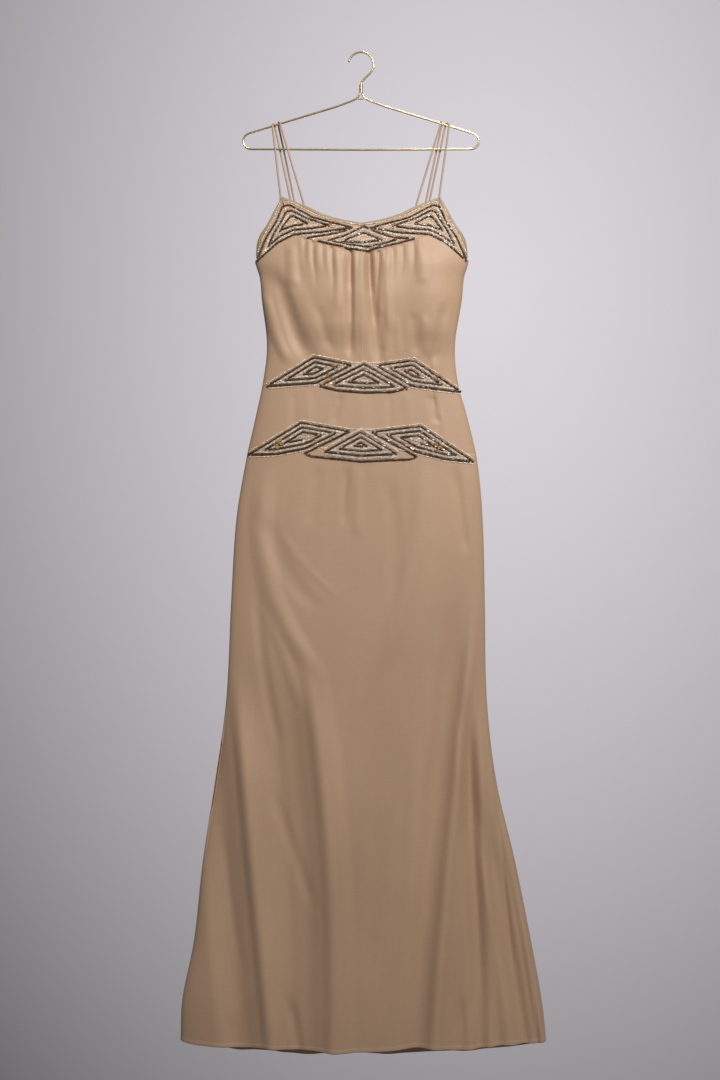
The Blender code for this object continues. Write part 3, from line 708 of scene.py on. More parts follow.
BRONZE_GLASS = glass("bronze_glass", (0.16, 0.092, 0.045), (0.045, 0.025, 0.012), 0.36, 0.3)
SILVER_GLASS = glass("silver_glass", (1.0, 0.93, 0.82), (0.6, 0.47, 0.35), 0.3, 0.0)
AMBER_GLASS = glass("amber_glass", (0.6, 0.36, 0.11), (0.26, 0.13, 0.035), 0.24, 0.1)
# A pale bright glass whose colour is a painted highlight: the glint of a seed that turns its lining to the
# light.
PAINTED_GLINT_GLASS = glass("painted_glint_glass", (1.0, 0.97, 0.86), (1.0, 0.86, 0.62), 0.2, 0.0)
print("four kinds of bead")

# %% [markdown]
# ## Wire and thread
# The hanger is steel wire with a pale gold plating, polished, with hair scratches along it. The thread is
# the same silk as the cloth; its colour is painted a little lighter, a painted highlight for the light it
# catches.

# %% Gilt wire and thread


def gilt(name):
    wire = Finish(name, {"Metallic": 1.0})
    hairs = wire.noise((260.0, 900.0, 900.0), 3.0)
    wear = wire.noise((45.0, 45.0, 45.0), 3.0)
    wire.colour(wire.mixed(wear, (0.8, 0.56, 0.22), (0.92, 0.72, 0.38)))
    wire.roughness(0.14 + hairs * 0.14 + wear * 0.06)
    wire.bump(hairs, 0.00002, 0.4)
    return wire.material


def thread_finish(name):
    thread = Finish(name, {"Roughness": 0.5, "Sheen Weight": 0.3})
    twist = thread.noise((2600.0, 2600.0, 2600.0), 1.0)
    # Both colours are a little lighter than the cloth's: a painted highlight for the light the thread
    # catches.
    thread.colour(thread.mixed(twist, (0.5, 0.36, 0.24), (0.66, 0.5, 0.36)))
    thread.bump(twist, 0.00006)
    return thread.material


GILT_WIRE = gilt("gilt_wire")
SEWING_THREAD = thread_finish("sewing_thread")
print("finishes", len(bpy.data.materials))

# %% [markdown]
# ## Making a cloth shell
# Each cut piece becomes a grid of fine quads whose points lie on the gown, and Solidify gives it the
# thickness of real silk towards the inside, so the outer face stays where the solid has it. The grid is
# made from rows of points, and the winding follows the side that it shows.

# %% A shell from rows of points
CLOTH_THICK = 0.7
SEWN = 0.03  # half the gap of a seam that is drawn tight
made_pieces = []


def keep(name, mesh, material, node):
    """Puts a mesh in the scene as a piece of the gown. It stands for a node of the frame if one is named."""
    piece = bpy.data.objects.new(name, mesh)
    if not mesh.materials:
        mesh.materials.append(material)
    bpy.context.scene.collection.objects.link(piece)
    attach(piece, "root")
    if node:
        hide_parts(node)
    made_pieces.append(piece)
    return piece


def grid_mesh(name, points, side, closed=False):
    """A grid through rows of points. A closed one also joins the last point of a row to its first."""
    rows, columns = points.shape[:2]
    number = np.arange(rows * columns).reshape(rows, columns)
    if closed:
        number = np.concatenate([number, number[:, :1]], 1)
    corners = [number[:-1, :-1], number[:-1, 1:], number[1:, 1:], number[1:, :-1]]
    if side == FRONT:
        corners.reverse()
    faces = np.stack([corner.ravel() for corner in corners], -1)
    mesh = bpy.data.meshes.new(name)
    mesh.from_pydata((points.reshape(-1, 3) * MM).tolist(), [], faces.tolist())
    mesh.shade_smooth()
    return mesh


def shell(name, points, side):
    """A piece of silk crepe through rows of points on its outer face."""
    piece = keep(name, grid_mesh(name, points, side), SILK_CREPE, name)
    wall = piece.modifiers.new("cloth", "SOLIDIFY")
    wall.thickness = CLOTH_THICK * MM
    wall.offset = -1.0
    return piece


def fabric_area(points):
    """The area of a grid of points, in square metres, which is close to what was cut."""
    across = points[:-1, 1:] - points[:-1, :-1]
    down = points[1:, :-1] - points[:-1, :-1]
    return float(np.linalg.norm(np.cross(across, down), axis=-1).sum()) * MM * MM


print("a shell is", CLOTH_THICK, "mm thick")

# %% [markdown]
# ## The bodice
# The two halves meet in a centre front seam. A pressed seam shows as a narrow ridge, where the allowances
# lie under the cloth. The rows start at the yoke seam and end at the waist, and they are closer together at
# the top, where the gathers are.

# %% The gathered halves of the bodice
BODICE_COLUMNS = 120
BODICE_ROWS = 130
CROWDED = 1.35  # more than 1 brings the rows together at the top
CENTRE_RIDGE = 0.85
RIDGE_HALF = 2.0
TIP_OUT = 164.0
TIP_EASE = 4.0
UNDER_TIP = 3.0  # how far the bodice is tucked under the tip of the yoke


def centre_seam(x):
    """The ridge of the pressed allowances."""
    return CENTRE_RIDGE * swell(x / RIDGE_HALF)


def bodice_half(name, sign):
    share = np.linspace(0, 1, BODICE_COLUMNS + 1)
    nearest = float(chest_angle(0.01))
    angles = sign * (nearest + (SIDE_SEAM - nearest) * share)
    if sign < 0:
        angles = angles[::-1]
    out = CHEST_HALF * np.abs(np.sin(angles))
    top = yoke_seam(out) + SEWN - UNDER_TIP * np.clip((out - TIP_OUT) / TIP_EASE, 0, 1)
    end = waist_seam(angles) - SEWN
    down = np.linspace(0, 1, BODICE_ROWS + 1)[:, None] ** CROWDED
    drop = top + (end - top) * down
    lift = WALL + centre_seam(sign * out)
    points = on_gown(np.broadcast_to(angles, drop.shape), drop, FRONT, lift)
    piece = shell(name, points, FRONT)
    print(name, "shows", round(fabric_area(points), 4), "square metres")


bodice_half("bodice_front_left", -1)
bodice_half("bodice_front_right", 1)

# %% [markdown]
# ## Midriff and skirts
# These are plain shaped panels. What makes them cloth is the edges. A lower panel is lapped a little over
# the upper one, and a narrow rolled hem, turned twice, is thicker than the panel and stands out by a hair.
# The back skirt is cut longer, so its hem shows below the front one in the middle.

# %% Midriff, skirts and bodice back
HEM_DEEP = 7.0
HEM_STANDS = 0.4
HEM_RISE = 2.4  # the height in which it comes forward from the panel
HEM_ROUND = 1.6  # the height of its rounded lower edge
HEM_ROWS = 14  # rows of points in the hem
HEM_FROM, HEM_NEXT = 0.988, 0.9895  # shares of the panel's length where they begin
LAP = 1.2  # a lower panel is lapped over the upper one by this much
LAP_LIFT = 0.14
LAP_FADE = 3.6


def rolled_hem(below):
    """How far a rolled hem stands out, by the distance above the edge."""
    inner = np.clip((HEM_DEEP - below) / HEM_RISE, 0, 1)
    round_edge = np.sqrt(np.clip(1 - (1 - np.clip(below / HEM_ROUND, 0, 1)) ** 2, 0, 1))
    return HEM_STANDS * inner * (0.3 + 0.7 * round_edge)


def hem_rows(count):
    """Shares from the top to the hem, with the last ones close together for the rolled edge."""
    plain = np.linspace(0, HEM_FROM, count - HEM_ROWS)
    return np.concatenate([plain, np.linspace(HEM_NEXT, 1.0, HEM_ROWS)])


def lapped(below):
    """How far the top of a panel stands out, by the distance below its edge."""
    return LAP_LIFT * np.clip(1 - below / LAP_FADE, 0, 1)


def panel(name, side, columns, shares, top, end, hem):
    """A panel from side seam to side seam. The shares give its rows between its top and its end."""
    angles = np.linspace(-SIDE_SEAM, SIDE_SEAM, columns + 1)
    drop = top(angles) + (end(angles) - top(angles)) * shares[:, None]
    lift = WALL + lapped(drop - top(angles)) + (rolled_hem(end(angles) - drop) if hem else 0.0)
    points = on_gown(np.broadcast_to(angles, drop.shape), drop, side, lift)
    piece = shell(name, points, side)
    print(name, "shows", round(fabric_area(points), 4), "square metres")


def below_waist(angle):
    return waist_seam(angle) - LAP


def above_hip(angle):
    return hip_seam(angle) - SEWN


def below_hip(angle):
    return hip_seam(angle) - LAP


panel("midriff_front", FRONT, 150, np.linspace(0, 1, 55), below_waist, above_hip, False)
panel("skirt_front", FRONT, 200, hem_rows(200), below_hip, front_hem, True)
panel("bodice_back", BACK, 140, np.linspace(0, 1, 100), back_top, above_hip, False)
panel("skirt_back", BACK, 160, hem_rows(150), below_hip, back_hem, True)

# %% [markdown]
# ## The yoke
# The yoke lies between the bound edge above and the gathered seam below. Every column joins a point of
# one edge to the point of the other that faces it, with a corner in the column that meets the strap.

# %% The yoke
BINDING_WIDTH = 5.0
YOKE_COLUMNS = 72  # on each side of the middle
ARM_COLUMNS = YOKE_COLUMNS // 4  # those of them that end at the armhole
YOKE_ROWS = 25


def moved_in(points, distance):
    """The points of an open edge, each moved square to the edge, with mitred corners."""
    points = np.asarray(points, float)
    run = points[1:] - points[:-1]
    normal = np.stack([-run[:, 1], run[:, 0]], -1)
    normal /= np.linalg.norm(normal, axis=1, keepdims=True)
    first = np.concatenate([normal[:1], normal])
    last = np.concatenate([normal, normal[-1:]])
    total = first + last
    total /= 1 + (first * last).sum(1, keepdims=True)
    return points + total * distance


def yoke_outs():
    """The columns, by the place out from the middle where each one meets the gathered seam."""
    neck = np.linspace(0, YOKE_TURN, YOKE_COLUMNS - ARM_COLUMNS + 1)
    arm = np.linspace(YOKE_TURN, CHEST_HALF * math.sin(YOKE_TIP), ARM_COLUMNS + 1)
    return np.concatenate([neck, arm[1:]])


def finished_edge(outs):
    """The points of the bound edge that face those columns."""
    tip = CHEST_HALF * math.sin(YOKE_TIP)
    neck = NECKLINE_CURVE.at(1 - np.clip(outs / YOKE_TURN, 0, 1))
    arm = ARMHOLE_CURVE.at(np.clip((outs - YOKE_TURN) / (tip - YOKE_TURN), 0, 1))
    return np.where((outs > YOKE_TURN)[:, None], arm, neck)


def mirrored(outs, edge):
    """Both sides of the yoke, from tip to tip."""
    left = edge[:0:-1] * (-1, 1)
    return np.concatenate([-outs[:0:-1], outs]), np.concatenate([left, edge])


def yoke_front():
    outs = yoke_outs()
    across, upper = mirrored(outs, moved_in(finished_edge(outs), BINDING_WIDTH + SEAM))
    lower = np.stack([across, yoke_seam(np.abs(across))], -1)
    share = np.linspace(1, 0, YOKE_ROWS)[:, None, None]
    places = lower + (upper - lower) * share
    points = on_gown(chest_angle(places[..., 0]), places[..., 1], FRONT, WALL)
    piece = shell("yoke_front", points, FRONT)
    print("yoke shows", round(fabric_area(points), 4), "square metres")


yoke_front()

# %% [markdown]
# ## Bindings
# A bias strip is folded round each open edge and stitched through, which draws it into small puckers. Its
# section is a flat oval. We sweep that oval along the edge and let the thickness rise and fall between
# the stitches. The neckline comes first and then the two armholes, which stop just short of the strap
# peaks. Their edges are kept for the stitches.

# %% Bias bindings
BINDING_THICK = 2.2
BINDING_INSIDE = 0.5
BINDING_STEP = 1.1
PEAK_CLEAR = 0.5
STITCH_STEP = 3.4
PUCKER = 0.16
STRIP_UNEVEN, STRIP_WAVE = 0.05, 0.31  # a slow change of thickness and its turn for each millimetre
OVAL = np.linspace(0, 2 * np.pi, 14, endpoint=False)


def flattened(value, power):
    """A sine or cosine with a fuller curve, from 0 to 1."""
    return 0.5 + 0.5 * np.sign(value) * np.abs(value) ** power


OVAL_ACROSS = flattened(-np.cos(OVAL), 0.7)  # share of the way across the strip
OVAL_HEIGHT = flattened(np.sin(OVAL), 0.6)


def measured(points):
    """The length along a line up to each of its points."""
    return np.concatenate([[0], np.cumsum(np.linalg.norm(np.diff(points, axis=0), axis=1))])


def read_along(even, length, points):
    """The points of a line at even lengths along it."""
    return np.stack([np.interp(even, length, points[:, axis]) for axis in range(points.shape[1])], -1)


def puckered(even):
    """How far the oval stands on the cloth's inside along a strip that is drawn in at every stitch."""
    puff = 1 - PUCKER * (0.5 + 0.5 * np.cos(2 * np.pi * even / STITCH_STEP))
    puff = puff + STRIP_UNEVEN * np.sin(even * STRIP_WAVE)
    share = np.where(OVAL_HEIGHT > 0.5, puff[:, None], 1.0)
    return -BINDING_INSIDE + BINDING_THICK * OVAL_HEIGHT[None] * share


def sweep_binding(name, inner, outer):
    length = measured(outer)
    even = np.linspace(0, length[-1], int(length[-1] / BINDING_STEP))
    inner, outer = read_along(even, length, inner), read_along(even, length, outer)
    spot = inner[:, None] + (outer - inner)[:, None] * OVAL_ACROSS[None, :, None]
    points = on_gown(chest_angle(spot[..., 0]), spot[..., 1], FRONT, puckered(even))
    mesh = grid_mesh(name, points, FRONT, closed=True)
    mesh.flip_normals()
    piece = keep(name, mesh, BINDING_SILK, name)
    cap_ends(piece)
    print(name, round(float(length[-1])), "mm")
    return inner, outer


def cap_ends(piece):
    """Closes the open ends of a swept tube."""
    solid = bmesh.new()
    solid.from_mesh(piece.data)
    ends = [edge for edge in solid.edges if edge.is_boundary]
    bmesh.ops.holes_fill(solid, edges=ends, sides=0)
    bmesh.ops.recalc_face_normals(solid, faces=solid.faces)
    solid.to_mesh(piece.data)
    solid.free()


def short_of_peak(edge, peak, after):
    """An armhole's edge that stops just short of the strap peak."""
    edge = edge.copy()
    run = edge[after] - edge[peak]
    edge[peak] += run / np.linalg.norm(run) * PEAK_CLEAR
    return edge


yoke_places = yoke_outs()
edge_in = mirrored(yoke_places, moved_in(finished_edge(yoke_places), BINDING_WIDTH))[1]
edge_out = mirrored(yoke_places, finished_edge(yoke_places))[1]
neck_part = slice(ARM_COLUMNS, len(edge_in) - ARM_COLUMNS)
left_part, right_part = slice(0, ARM_COLUMNS + 1), slice(-ARM_COLUMNS - 1, None)
stitched = {"neckline": sweep_binding("binding_neckline", edge_in[neck_part], edge_out[neck_part])}
for label, part, peak, after in (("left", left_part, -1, -2), ("right", right_part, 0, 1)):
    edges = [short_of_peak(edge[part], peak, after) for edge in (edge_in, edge_out)]
    stitched[label] = sweep_binding(f"binding_armhole_{label}", *edges)

# %% [markdown]
# ## The binding of the back
# The back's top edge is nearly straight, so its strip needs no corners. The same oval follows the angle
# round the gown, from one side seam to the other.

# %% The binding of the back
BACK_BINDING_COLUMNS = 360


def back_binding():
    angle = np.linspace(-SIDE_SEAM, SIDE_SEAM, BACK_BINDING_COLUMNS)
    drop = (back_top(angle) - SEAM)[:, None] - BINDING_WIDTH * OVAL_ACROSS[None]
    points = on_gown(np.broadcast_to(angle[:, None], drop.shape), drop, BACK, puckered(CHEST_HALF * angle))
    mesh = grid_mesh("binding_back", points, BACK, closed=True)
    piece = keep("binding_back", mesh, BINDING_SILK, "binding_back")
    cap_ends(piece)


back_binding()
print("bindings", len(stitched) + 1)

# %% [markdown]
# ## Straps
# A rouleau is a bias strip sewn into a tube and turned right side out, so it is round, springy and a
# little uneven, with the seam running along it. Each strap is sewn down behind the front edge, goes over
# the arm of the hanger and down to the back.

# %% Rouleau straps
STRAP_RADIUS = 1.7
STRAP_TUCK = 12.0  # length sewn down behind an edge
STRAP_EASE = 0.3  # air between a strap and the binding that it lies behind
STRAP_STAND = 3.0  # how far above the front edge it leaves the cloth
STRAP_OVER = 0.1  # air between a strap and the hanger's arm, beyond the gap of a seam
STRAP_STEP = 1.2
WIRE_RADIUS = 1.6
ARM_SLOPE = 0.305
FRAME_END_OUT = 184.5
FRAME_END_DROP = 148.0
FRAME_END_RADIUS = 13.6
OFF_AXIS = (0.3, 0.9, 0.1)  # a direction that none of the tubes starts along
ROULEAU_MEAN, ROULEAU_FLAT, FLAT_WIND = 0.95, 0.07, 0.02  # shares of the radius, and radians a millimetre
SEAM_WIND, SEAM_HALF, SEAM_GROOVE = 0.012, 0.5, 0.12
SEAM_PUCKER, PUCKER_WAVE = 0.03, 2.1
PUCKER_WANDER = (1.5, 0.13)


class Strap(NamedTuple):
    """Its places at the front edge, over the hanger's arm, and at the back edge."""

    name: str
    front_x: float
    front_edge: float
    arm_front_x: float
    arm_back_x: float
    back_x: float


STRAPS = (
    Strap("strap_left_outer", -135.0, 243.0, -148.7, -145.0, -96.0),
    Strap("strap_left_inner", -96.0, 257.0, -136.0, -139.0, -90.5),
    Strap("strap_right_inner", 93.0, 258.0, 134.0, 136.0, 88.0),
    Strap("strap_right_outer", 131.5, 244.0, 147.8, 142.0, 93.5),
)


def arm_drop(out):
    """The drop of the hanger's arm."""
    return FRAME_END_DROP - FRAME_END_RADIUS * math.hypot(1, ARM_SLOPE) - ARM_SLOPE * (FRAME_END_OUT - out)


def spread(points, step):
    """Points along a line, one every step, and the line's length."""
    points = np.asarray(points, float)
    length = measured(points)
    even = np.linspace(0, length[-1], max(2, int(length[-1] / step)))
    return length[-1], read_along(even, length, points)


def rounded(points, passes):
    """The same points with their corners softened."""
    points = points.copy()
    for _ in range(passes):
        points[1:-1] = 0.25 * points[:-2] + 0.5 * points[1:-1] + 0.25 * points[2:]
    return points


def tube(name, line, radius, material, node, sides=14):
    """A tube along a line. The radius is a function of the length along it and the turn round it."""
    forward = np.gradient(line, axis=0)
    forward /= np.linalg.norm(forward, axis=1, keepdims=True)
    side = np.cross(forward[0], OFF_AXIS)
    frames = []
    for step in forward:
        side = side - step * side.dot(step)
        side /= np.linalg.norm(side)
        frames.append((side, np.cross(step, side)))
    turn = np.linspace(0, 2 * np.pi, sides, endpoint=False)
    size = radius(measured(line)[:, None], turn[None])[..., None]
    first, second = np.array(frames).swapaxes(0, 1)[:, :, None]
    around = first * np.cos(turn)[None, :, None] + second * np.sin(turn)[None, :, None]
    points = line[:, None] + size * around
    piece = keep(name, grid_mesh(name, points, BACK, closed=True), material, node)
    cap_ends(piece)
    return piece


def rouleau_radius(length, turn):
    """Drawn in along the seam, which winds slowly round the strap, and a little flat."""
    seam = swell((np.mod(turn - SEAM_WIND * length, 2 * np.pi) - np.pi) / SEAM_HALF)
    swing, wave = PUCKER_WANDER
    pucker = SEAM_PUCKER * np.sin(length * PUCKER_WAVE + swing * np.sin(length * wave)) * seam
    flat = ROULEAU_FLAT * np.cos(2 * turn - FLAT_WIND * length)
    return STRAP_RADIUS * (ROULEAU_MEAN - SEAM_GROOVE * seam + pucker + flat)


def strap(row):
    """The route of one strap: up from behind the front edge, round the arm and down behind the back's."""
    clear = SEAM + STRAP_RADIUS
    reach = WIRE_RADIUS + clear + STRAP_OVER

    def behind(x, drop, side):
        point = inside(angle_at(x, drop), drop, side)
        return point - np.array((0, side * (BINDING_INSIDE + clear + STRAP_EASE), 0))

    back_edge = BACK_TOP + BACK_SCOOP
    points = [behind(row.front_x, row.front_edge + STRAP_TUCK, FRONT)]
    points.append(behind(row.front_x, row.front_edge - STRAP_STAND, FRONT))
    for turn in np.linspace(0, np.pi, 9):
        x = row.arm_front_x + (row.arm_back_x - row.arm_front_x) * (1 - math.cos(turn)) / 2
        drop = arm_drop(abs(x)) - reach * math.sin(turn) / math.cos(math.atan(ARM_SLOPE))
        points.append((x, -reach * math.cos(turn), -drop))
    points.append(behind(row.back_x, back_edge - STRAP_TUCK, BACK))
    points.append(behind(row.back_x, back_edge + STRAP_TUCK, BACK))
    length, line = spread(points, STRAP_STEP)
    tube(row.name, rounded(line, 3), rouleau_radius, STRAP_SILK, row.name)
    print(row.name, round(float(length)), "mm long")


for row in STRAPS:
    strap(row)

# %% [markdown]
# ## The hanger
# A lingerie hanger is one wire bent into a frame, with a second wire for the hook, joined in a crimped
# collar. The solids have it with few faces. Here the same route is drawn again with round bends, and the
# tip of the hook is ground smooth.

# %% The hanger
HOOK_RADIUS = 21.0
HOOK_TIP, HOOK_END = math.radians(170), math.radians(-45)
TIP_ROUND, TIP_LEAST = 1.6, 0.02
STEM_BEND = ((4.2, 44.9), (1.2, 48.8), (0.0, 53.5))  # (out, drop), back under the hook
STEM_END = 64.3
COLLAR_TOP, COLLAR_END, COLLAR_RADIUS = 53.0, 67.0, 3.0
LEG_CURL = (0.4, 2.2)  # the first bend of a leg: out from the wire, down from the collar
FRAME_TOP, FRAME_NECK = 77.0, 7.8
ARM_BEND = (8.0, 3.6)  # out and down from there
ARM_START = 42.0
BAR_SAG = 1.0
LINK_RADIUS, LINK_HALF = 1.0, 5.0
LINK_UNDER = 0.4  # how far below the bend of the legs it lies


def upright(places):
    """Points in the plane of the hanger, from places given as out and drop."""
    return np.array([(out, 0.0, -drop) for out, drop in places])


def ground_tip(reach):
    """A wire whose start is rounded off."""
    def radius(length, turn):
        near = np.clip(length / reach, 0, 1)
        return WIRE_RADIUS * np.sqrt(np.clip(1 - (1 - near) ** 2, TIP_LEAST, 1)) + 0 * turn
    return radius


def plain_wire(size):
    return lambda length, turn: size + 0 * length + 0 * turn


def hanger():
    centre = HOOK_RADIUS - WIRE_RADIUS
    turns = np.linspace(HOOK_TIP, HOOK_END, 60)
    hook = [(HOOK_RADIUS * math.cos(turn), centre - HOOK_RADIUS * math.sin(turn)) for turn in turns]
    hook += [*STEM_BEND, (0.0, STEM_END)]
    line = rounded(spread(upright(hook), 0.6)[1], 5)
    tube("hanger_hook", line, ground_tip(TIP_ROUND), GILT_WIRE, "hanger_hook", sides=20)

    lean = math.atan(ARM_SLOPE)
    right = [(WIRE_RADIUS + SEAM, COLLAR_END + SEAM), (WIRE_RADIUS + LEG_CURL[0], COLLAR_END + LEG_CURL[1])]
    right += [(FRAME_NECK, FRAME_TOP), (FRAME_NECK + ARM_BEND[0], FRAME_TOP + ARM_BEND[1])]
    right.append((ARM_START, arm_drop(ARM_START)))
    for turn in np.linspace(math.pi / 2 - lean, -math.pi / 2, 24):
        out = FRAME_END_OUT + FRAME_END_RADIUS * math.cos(turn)
        right.append((out, FRAME_END_DROP - FRAME_END_RADIUS * math.sin(turn)))
    middle = (0.0, right[-1][1] + BAR_SAG)
    outline = right + [middle] + [(-out, drop) for out, drop in right[::-1]]
    line = rounded(spread(upright(outline), 1.5)[1], 4)
    tube("hanger_frame", line, plain_wire(WIRE_RADIUS), GILT_WIRE, "hanger_frame", sides=18)

    level = FRAME_TOP + LINK_UNDER
    line = spread(upright([(-LINK_HALF, level), (LINK_HALF, level)]), 0.5)[1]
    tube("hanger_link", line, plain_wire(LINK_RADIUS), GILT_WIRE, "hanger_link", sides=16)


hanger()

# %% [markdown]
# ## The collar
# The collar is a short sleeve that is squeezed on the wires. Its profile has rounded rims and two crimp
# grooves, and it is turned about the stem.

# %% The collar of the hanger
RIM_DEEP, RIM_ROUND = 0.8, 0.6
CRIMPS, CRIMP_HALF, CRIMP_DEEP = (4.2, 9.8), 0.9, 0.35


def collar():
    drop = np.linspace(COLLAR_TOP, COLLAR_END, 60)
    from_rim = np.minimum(drop - COLLAR_TOP, COLLAR_END - drop)
    rim = np.sqrt(np.clip(1 - (1 - np.clip(from_rim / RIM_DEEP, 0, 1)) ** 2, 0, 1))
    crimp = sum(swell((drop - COLLAR_TOP - depth) / CRIMP_HALF) for depth in CRIMPS)
    profile = COLLAR_RADIUS - RIM_ROUND + RIM_ROUND * rim - CRIMP_DEEP * crimp
    line = upright([(0.0, value) for value in drop])

    def radius(length, turn):
        return np.interp(length, drop - COLLAR_TOP, profile) + 0 * turn

    tube("hanger_collar", line, radius, GILT_WIRE, "hanger_collar", sides=28)


collar()

# %% [markdown]
# ## How the beads are laid
# The beadwork is a band of nested fields. Each row is stitched a fixed distance inside the last one, so
# we don't draw the rows. We draw the outline of a field and let a rule move its sides inwards. Some fields
# are worked in closed rings. Others are one long thread that winds inwards like a square spiral, as a
# beader would lay it without cutting the thread.

# %% Sides of a field, moved inwards
LEAST_SIDE = 0.5  # a side of a ring that is shorter than this is left out


def moved_side(corners, index, distance):
    """The line of one side of a field, moved inwards: a point and a direction."""
    start = np.array(corners[index % len(corners)], float)
    end = np.array(corners[(index + 1) % len(corners)], float)
    run = (end - start) / np.linalg.norm(end - start)
    return start + np.array((-run[1], run[0])) * distance, run


def crossing(first, second):
    """Where two lines cross."""
    (start, run), (other, across) = first, second
    cross = run[0] * across[1] - run[1] * across[0]
    gap = other - start
    return start + run * (gap[0] * across[1] - gap[1] * across[0]) / cross


def thread_through(corners, sides, closed):
    """The corners of a thread that follows sides in turn, each given as its number and distance."""
    lines = [moved_side(corners, index, distance) for index, distance in sides]
    pairs = list(zip(lines, lines[1:] + lines[:1])) if closed else list(zip(lines, lines[1:]))
    return [crossing(first, second) for first, second in pairs]


def ring(corners, distance):
    """A closed ring inside a field. Sides that have shrunk to nothing are left out."""
    sides = list(range(len(corners)))
    while len(sides) >= 3:
        points = thread_through(corners, [(side, distance) for side in sides], True)
        lost = []
        for order, side in enumerate(sides):
            run = points[order] - points[order - 1]
            if run.dot(moved_side(corners, side, 0)[1]) <= LEAST_SIDE:
                lost.append(side)
        if not lost:
            return points[-1:] + points[:-1]
        sides = [side for side in sides if side not in lost]
    return None


square = ring(((0, 0), (20, 0), (20, 20), (0, 20)), 4)
print("a square of 20 moved in by 4:", [tuple(float(size) for size in point) for point in square])

# %% [markdown]
# ## The pattern of the bands
# The waist and the hip carry a kite on each side and a low triangle between them. We name the corners of
# each field once, for the right half, and mirror them. The bands were drawn on the cloth by hand, so both
# sit a little off the middle and tilt a little, and that is kept.

# %% Fields at the waist and the hip
WAIST_PITCH = 7.6
HIP_PITCH = 7.4
DOUBLE_ROW = 0.87  # each light row is two lines of seeds, this far to either side
SPARSE_AWAY = 4.0
HIP_ROW_AWAY = 0.8  # how much further out the light row round the hip's triangle lies
TAIL_LEAN = 1.6  # the light rows beside the loose end of a thread lie at a slant
TAIL_SHARE = 0.9


class Band(NamedTuple):
    """The shift and the tilt of a band across the gown."""

    shift: float
    tilt: float

    def hung(self, points, sign):
        return [(sign * out + self.shift, drop + self.tilt * sign * out) for out, drop in points]


WAIST = Band(5.0, 0.03)
HIP = Band(0.0, 0.03)
WAIST_KITE = ((162, 565), (107, 560), (79, 557), (21, 526), (83, 515))
WAIST_TRIANGLE = ((0, 524), (73, 562.5), (45, 569), (0, 571.5), (-45, 569), (-73, 562.5))
HIP_KITE = ((188, 681), (140, 678), (65, 661.3), (18.5, 637), (99.5, 625))
HIP_STUB = (94, 676)
HIP_TRIANGLE = ((0, 637.5), (60, 672.5), (0, 677), (-60, 672.5))
HIP_LOWEST = ((-91, 677.5), (-80, 680.5), (0, 686.5), (80, 680.5), (91, 677.5))

DARK, LIGHT, SPARSE, AMBER = "dark", "light", "sparse", "amber"
SIDES = (("left", -1), ("right", 1))


def signed_area(points):
    return sum(a[0] * b[1] - b[0] * a[1] for a, b in zip(points, [*points[1:], points[0]])) / 2


def turned(points):
    """The corners in the order whose left side is the inside of the field."""
    return list(points) if signed_area(points) > 0 else list(points)[::-1]


def double(corners, distance):
    """The two lines of a light row, and the one that takes their place where there is less room."""
    lines = [ring(corners, distance + away) for away in (-DOUBLE_ROW, DOUBLE_ROW, 0)]
    return [(LIGHT, line, True) for line in lines if line]


def ringed_field(corners, pitch, count):
    """Dark rings with light rows between them."""
    corners = turned(corners)
    rows = [(DARK, line, True) for line in (ring(corners, order * pitch) for order in range(count)) if line]
    for order in range(count):
        rows += double(corners, (order + 0.5) * pitch)
    return rows


def wound_field(corners, start, pitch, count):
    """One dark thread that winds inwards from its start, with light rows between its turns.

    The field has five corners. The thread comes in along side 2, which ends the first turn as well.
    """
    corner = np.array(corners[2], float)
    beyond = np.array(start) - corner
    room = (np.array(corners[1], float) - corner) / math.dist(corners[1], corner)
    sides = [(2, 0)]
    for order in range(count):
        sides += [(3, order), (4, order), (0, order), (1, order), (2, order + 1)]
    flip = signed_area(corners) < 0
    if flip:
        corners = list(corners)[::-1]
        sides = [((3 - side) % 5, order) for side, order in sides]
    sides = [(side, order * pitch) for side, order in sides]
    line = [start, *thread_through(corners, sides, False)]
    rows = [(DARK, line, False)]
    for order in range(count):
        rows += double(turned(corners), (order + 0.5) * pitch)
    for away in (-DOUBLE_ROW, DOUBLE_ROW):
        first = corner + room * (pitch / 2 + away) * TAIL_LEAN
        rows.append((LIGHT, [tuple(first), tuple(first + beyond * TAIL_SHARE)], False))
    return rows


def edge_line(points, distance):
    """The sparse single line of seeds outside a field."""
    return (SPARSE, [tuple(point) for point in moved_in(points, distance)], False)


def beside(points, distance):
    """A light row outside an open run of corners that is drawn from -X to +X."""
    lines = [moved_in(points, -distance + away) for away in (-DOUBLE_ROW, DOUBLE_ROW, 0)]
    return [(LIGHT, [tuple(point) for point in line], False) for line in lines]


def seeds_round(band, kite, sign):
    """The single lines of seeds above and below a kite."""
    over = band.hung([kite[0], kite[4], kite[3]], sign)
    under = band.hung(kite[:3], sign)
    return [edge_line(over, SPARSE_AWAY * sign), edge_line(under, -SPARSE_AWAY * sign)]


def seeds_between(band, kite):
    """The single line of seeds from the inner corner of one kite to that of the other."""
    out, drop = kite[3]
    return edge_line(band.hung(((-out, drop), (out, drop)), 1), -SPARSE_AWAY)


def waist_rows():
    fields = {}
    for name, sign in SIDES:
        fields[name] = ringed_field(WAIST.hung(WAIST_KITE, sign), WAIST_PITCH, 3)
        fields[name] += seeds_round(WAIST, WAIST_KITE, sign)
    triangle = WAIST.hung(WAIST_TRIANGLE, 1)
    fields["centre"] = ringed_field(triangle, WAIST_PITCH, 3)
    fields["centre"] += beside([triangle[5], triangle[0], triangle[1]], WAIST_PITCH / 2)
    fields["centre"].append(seeds_between(WAIST, WAIST_KITE))
    return fields


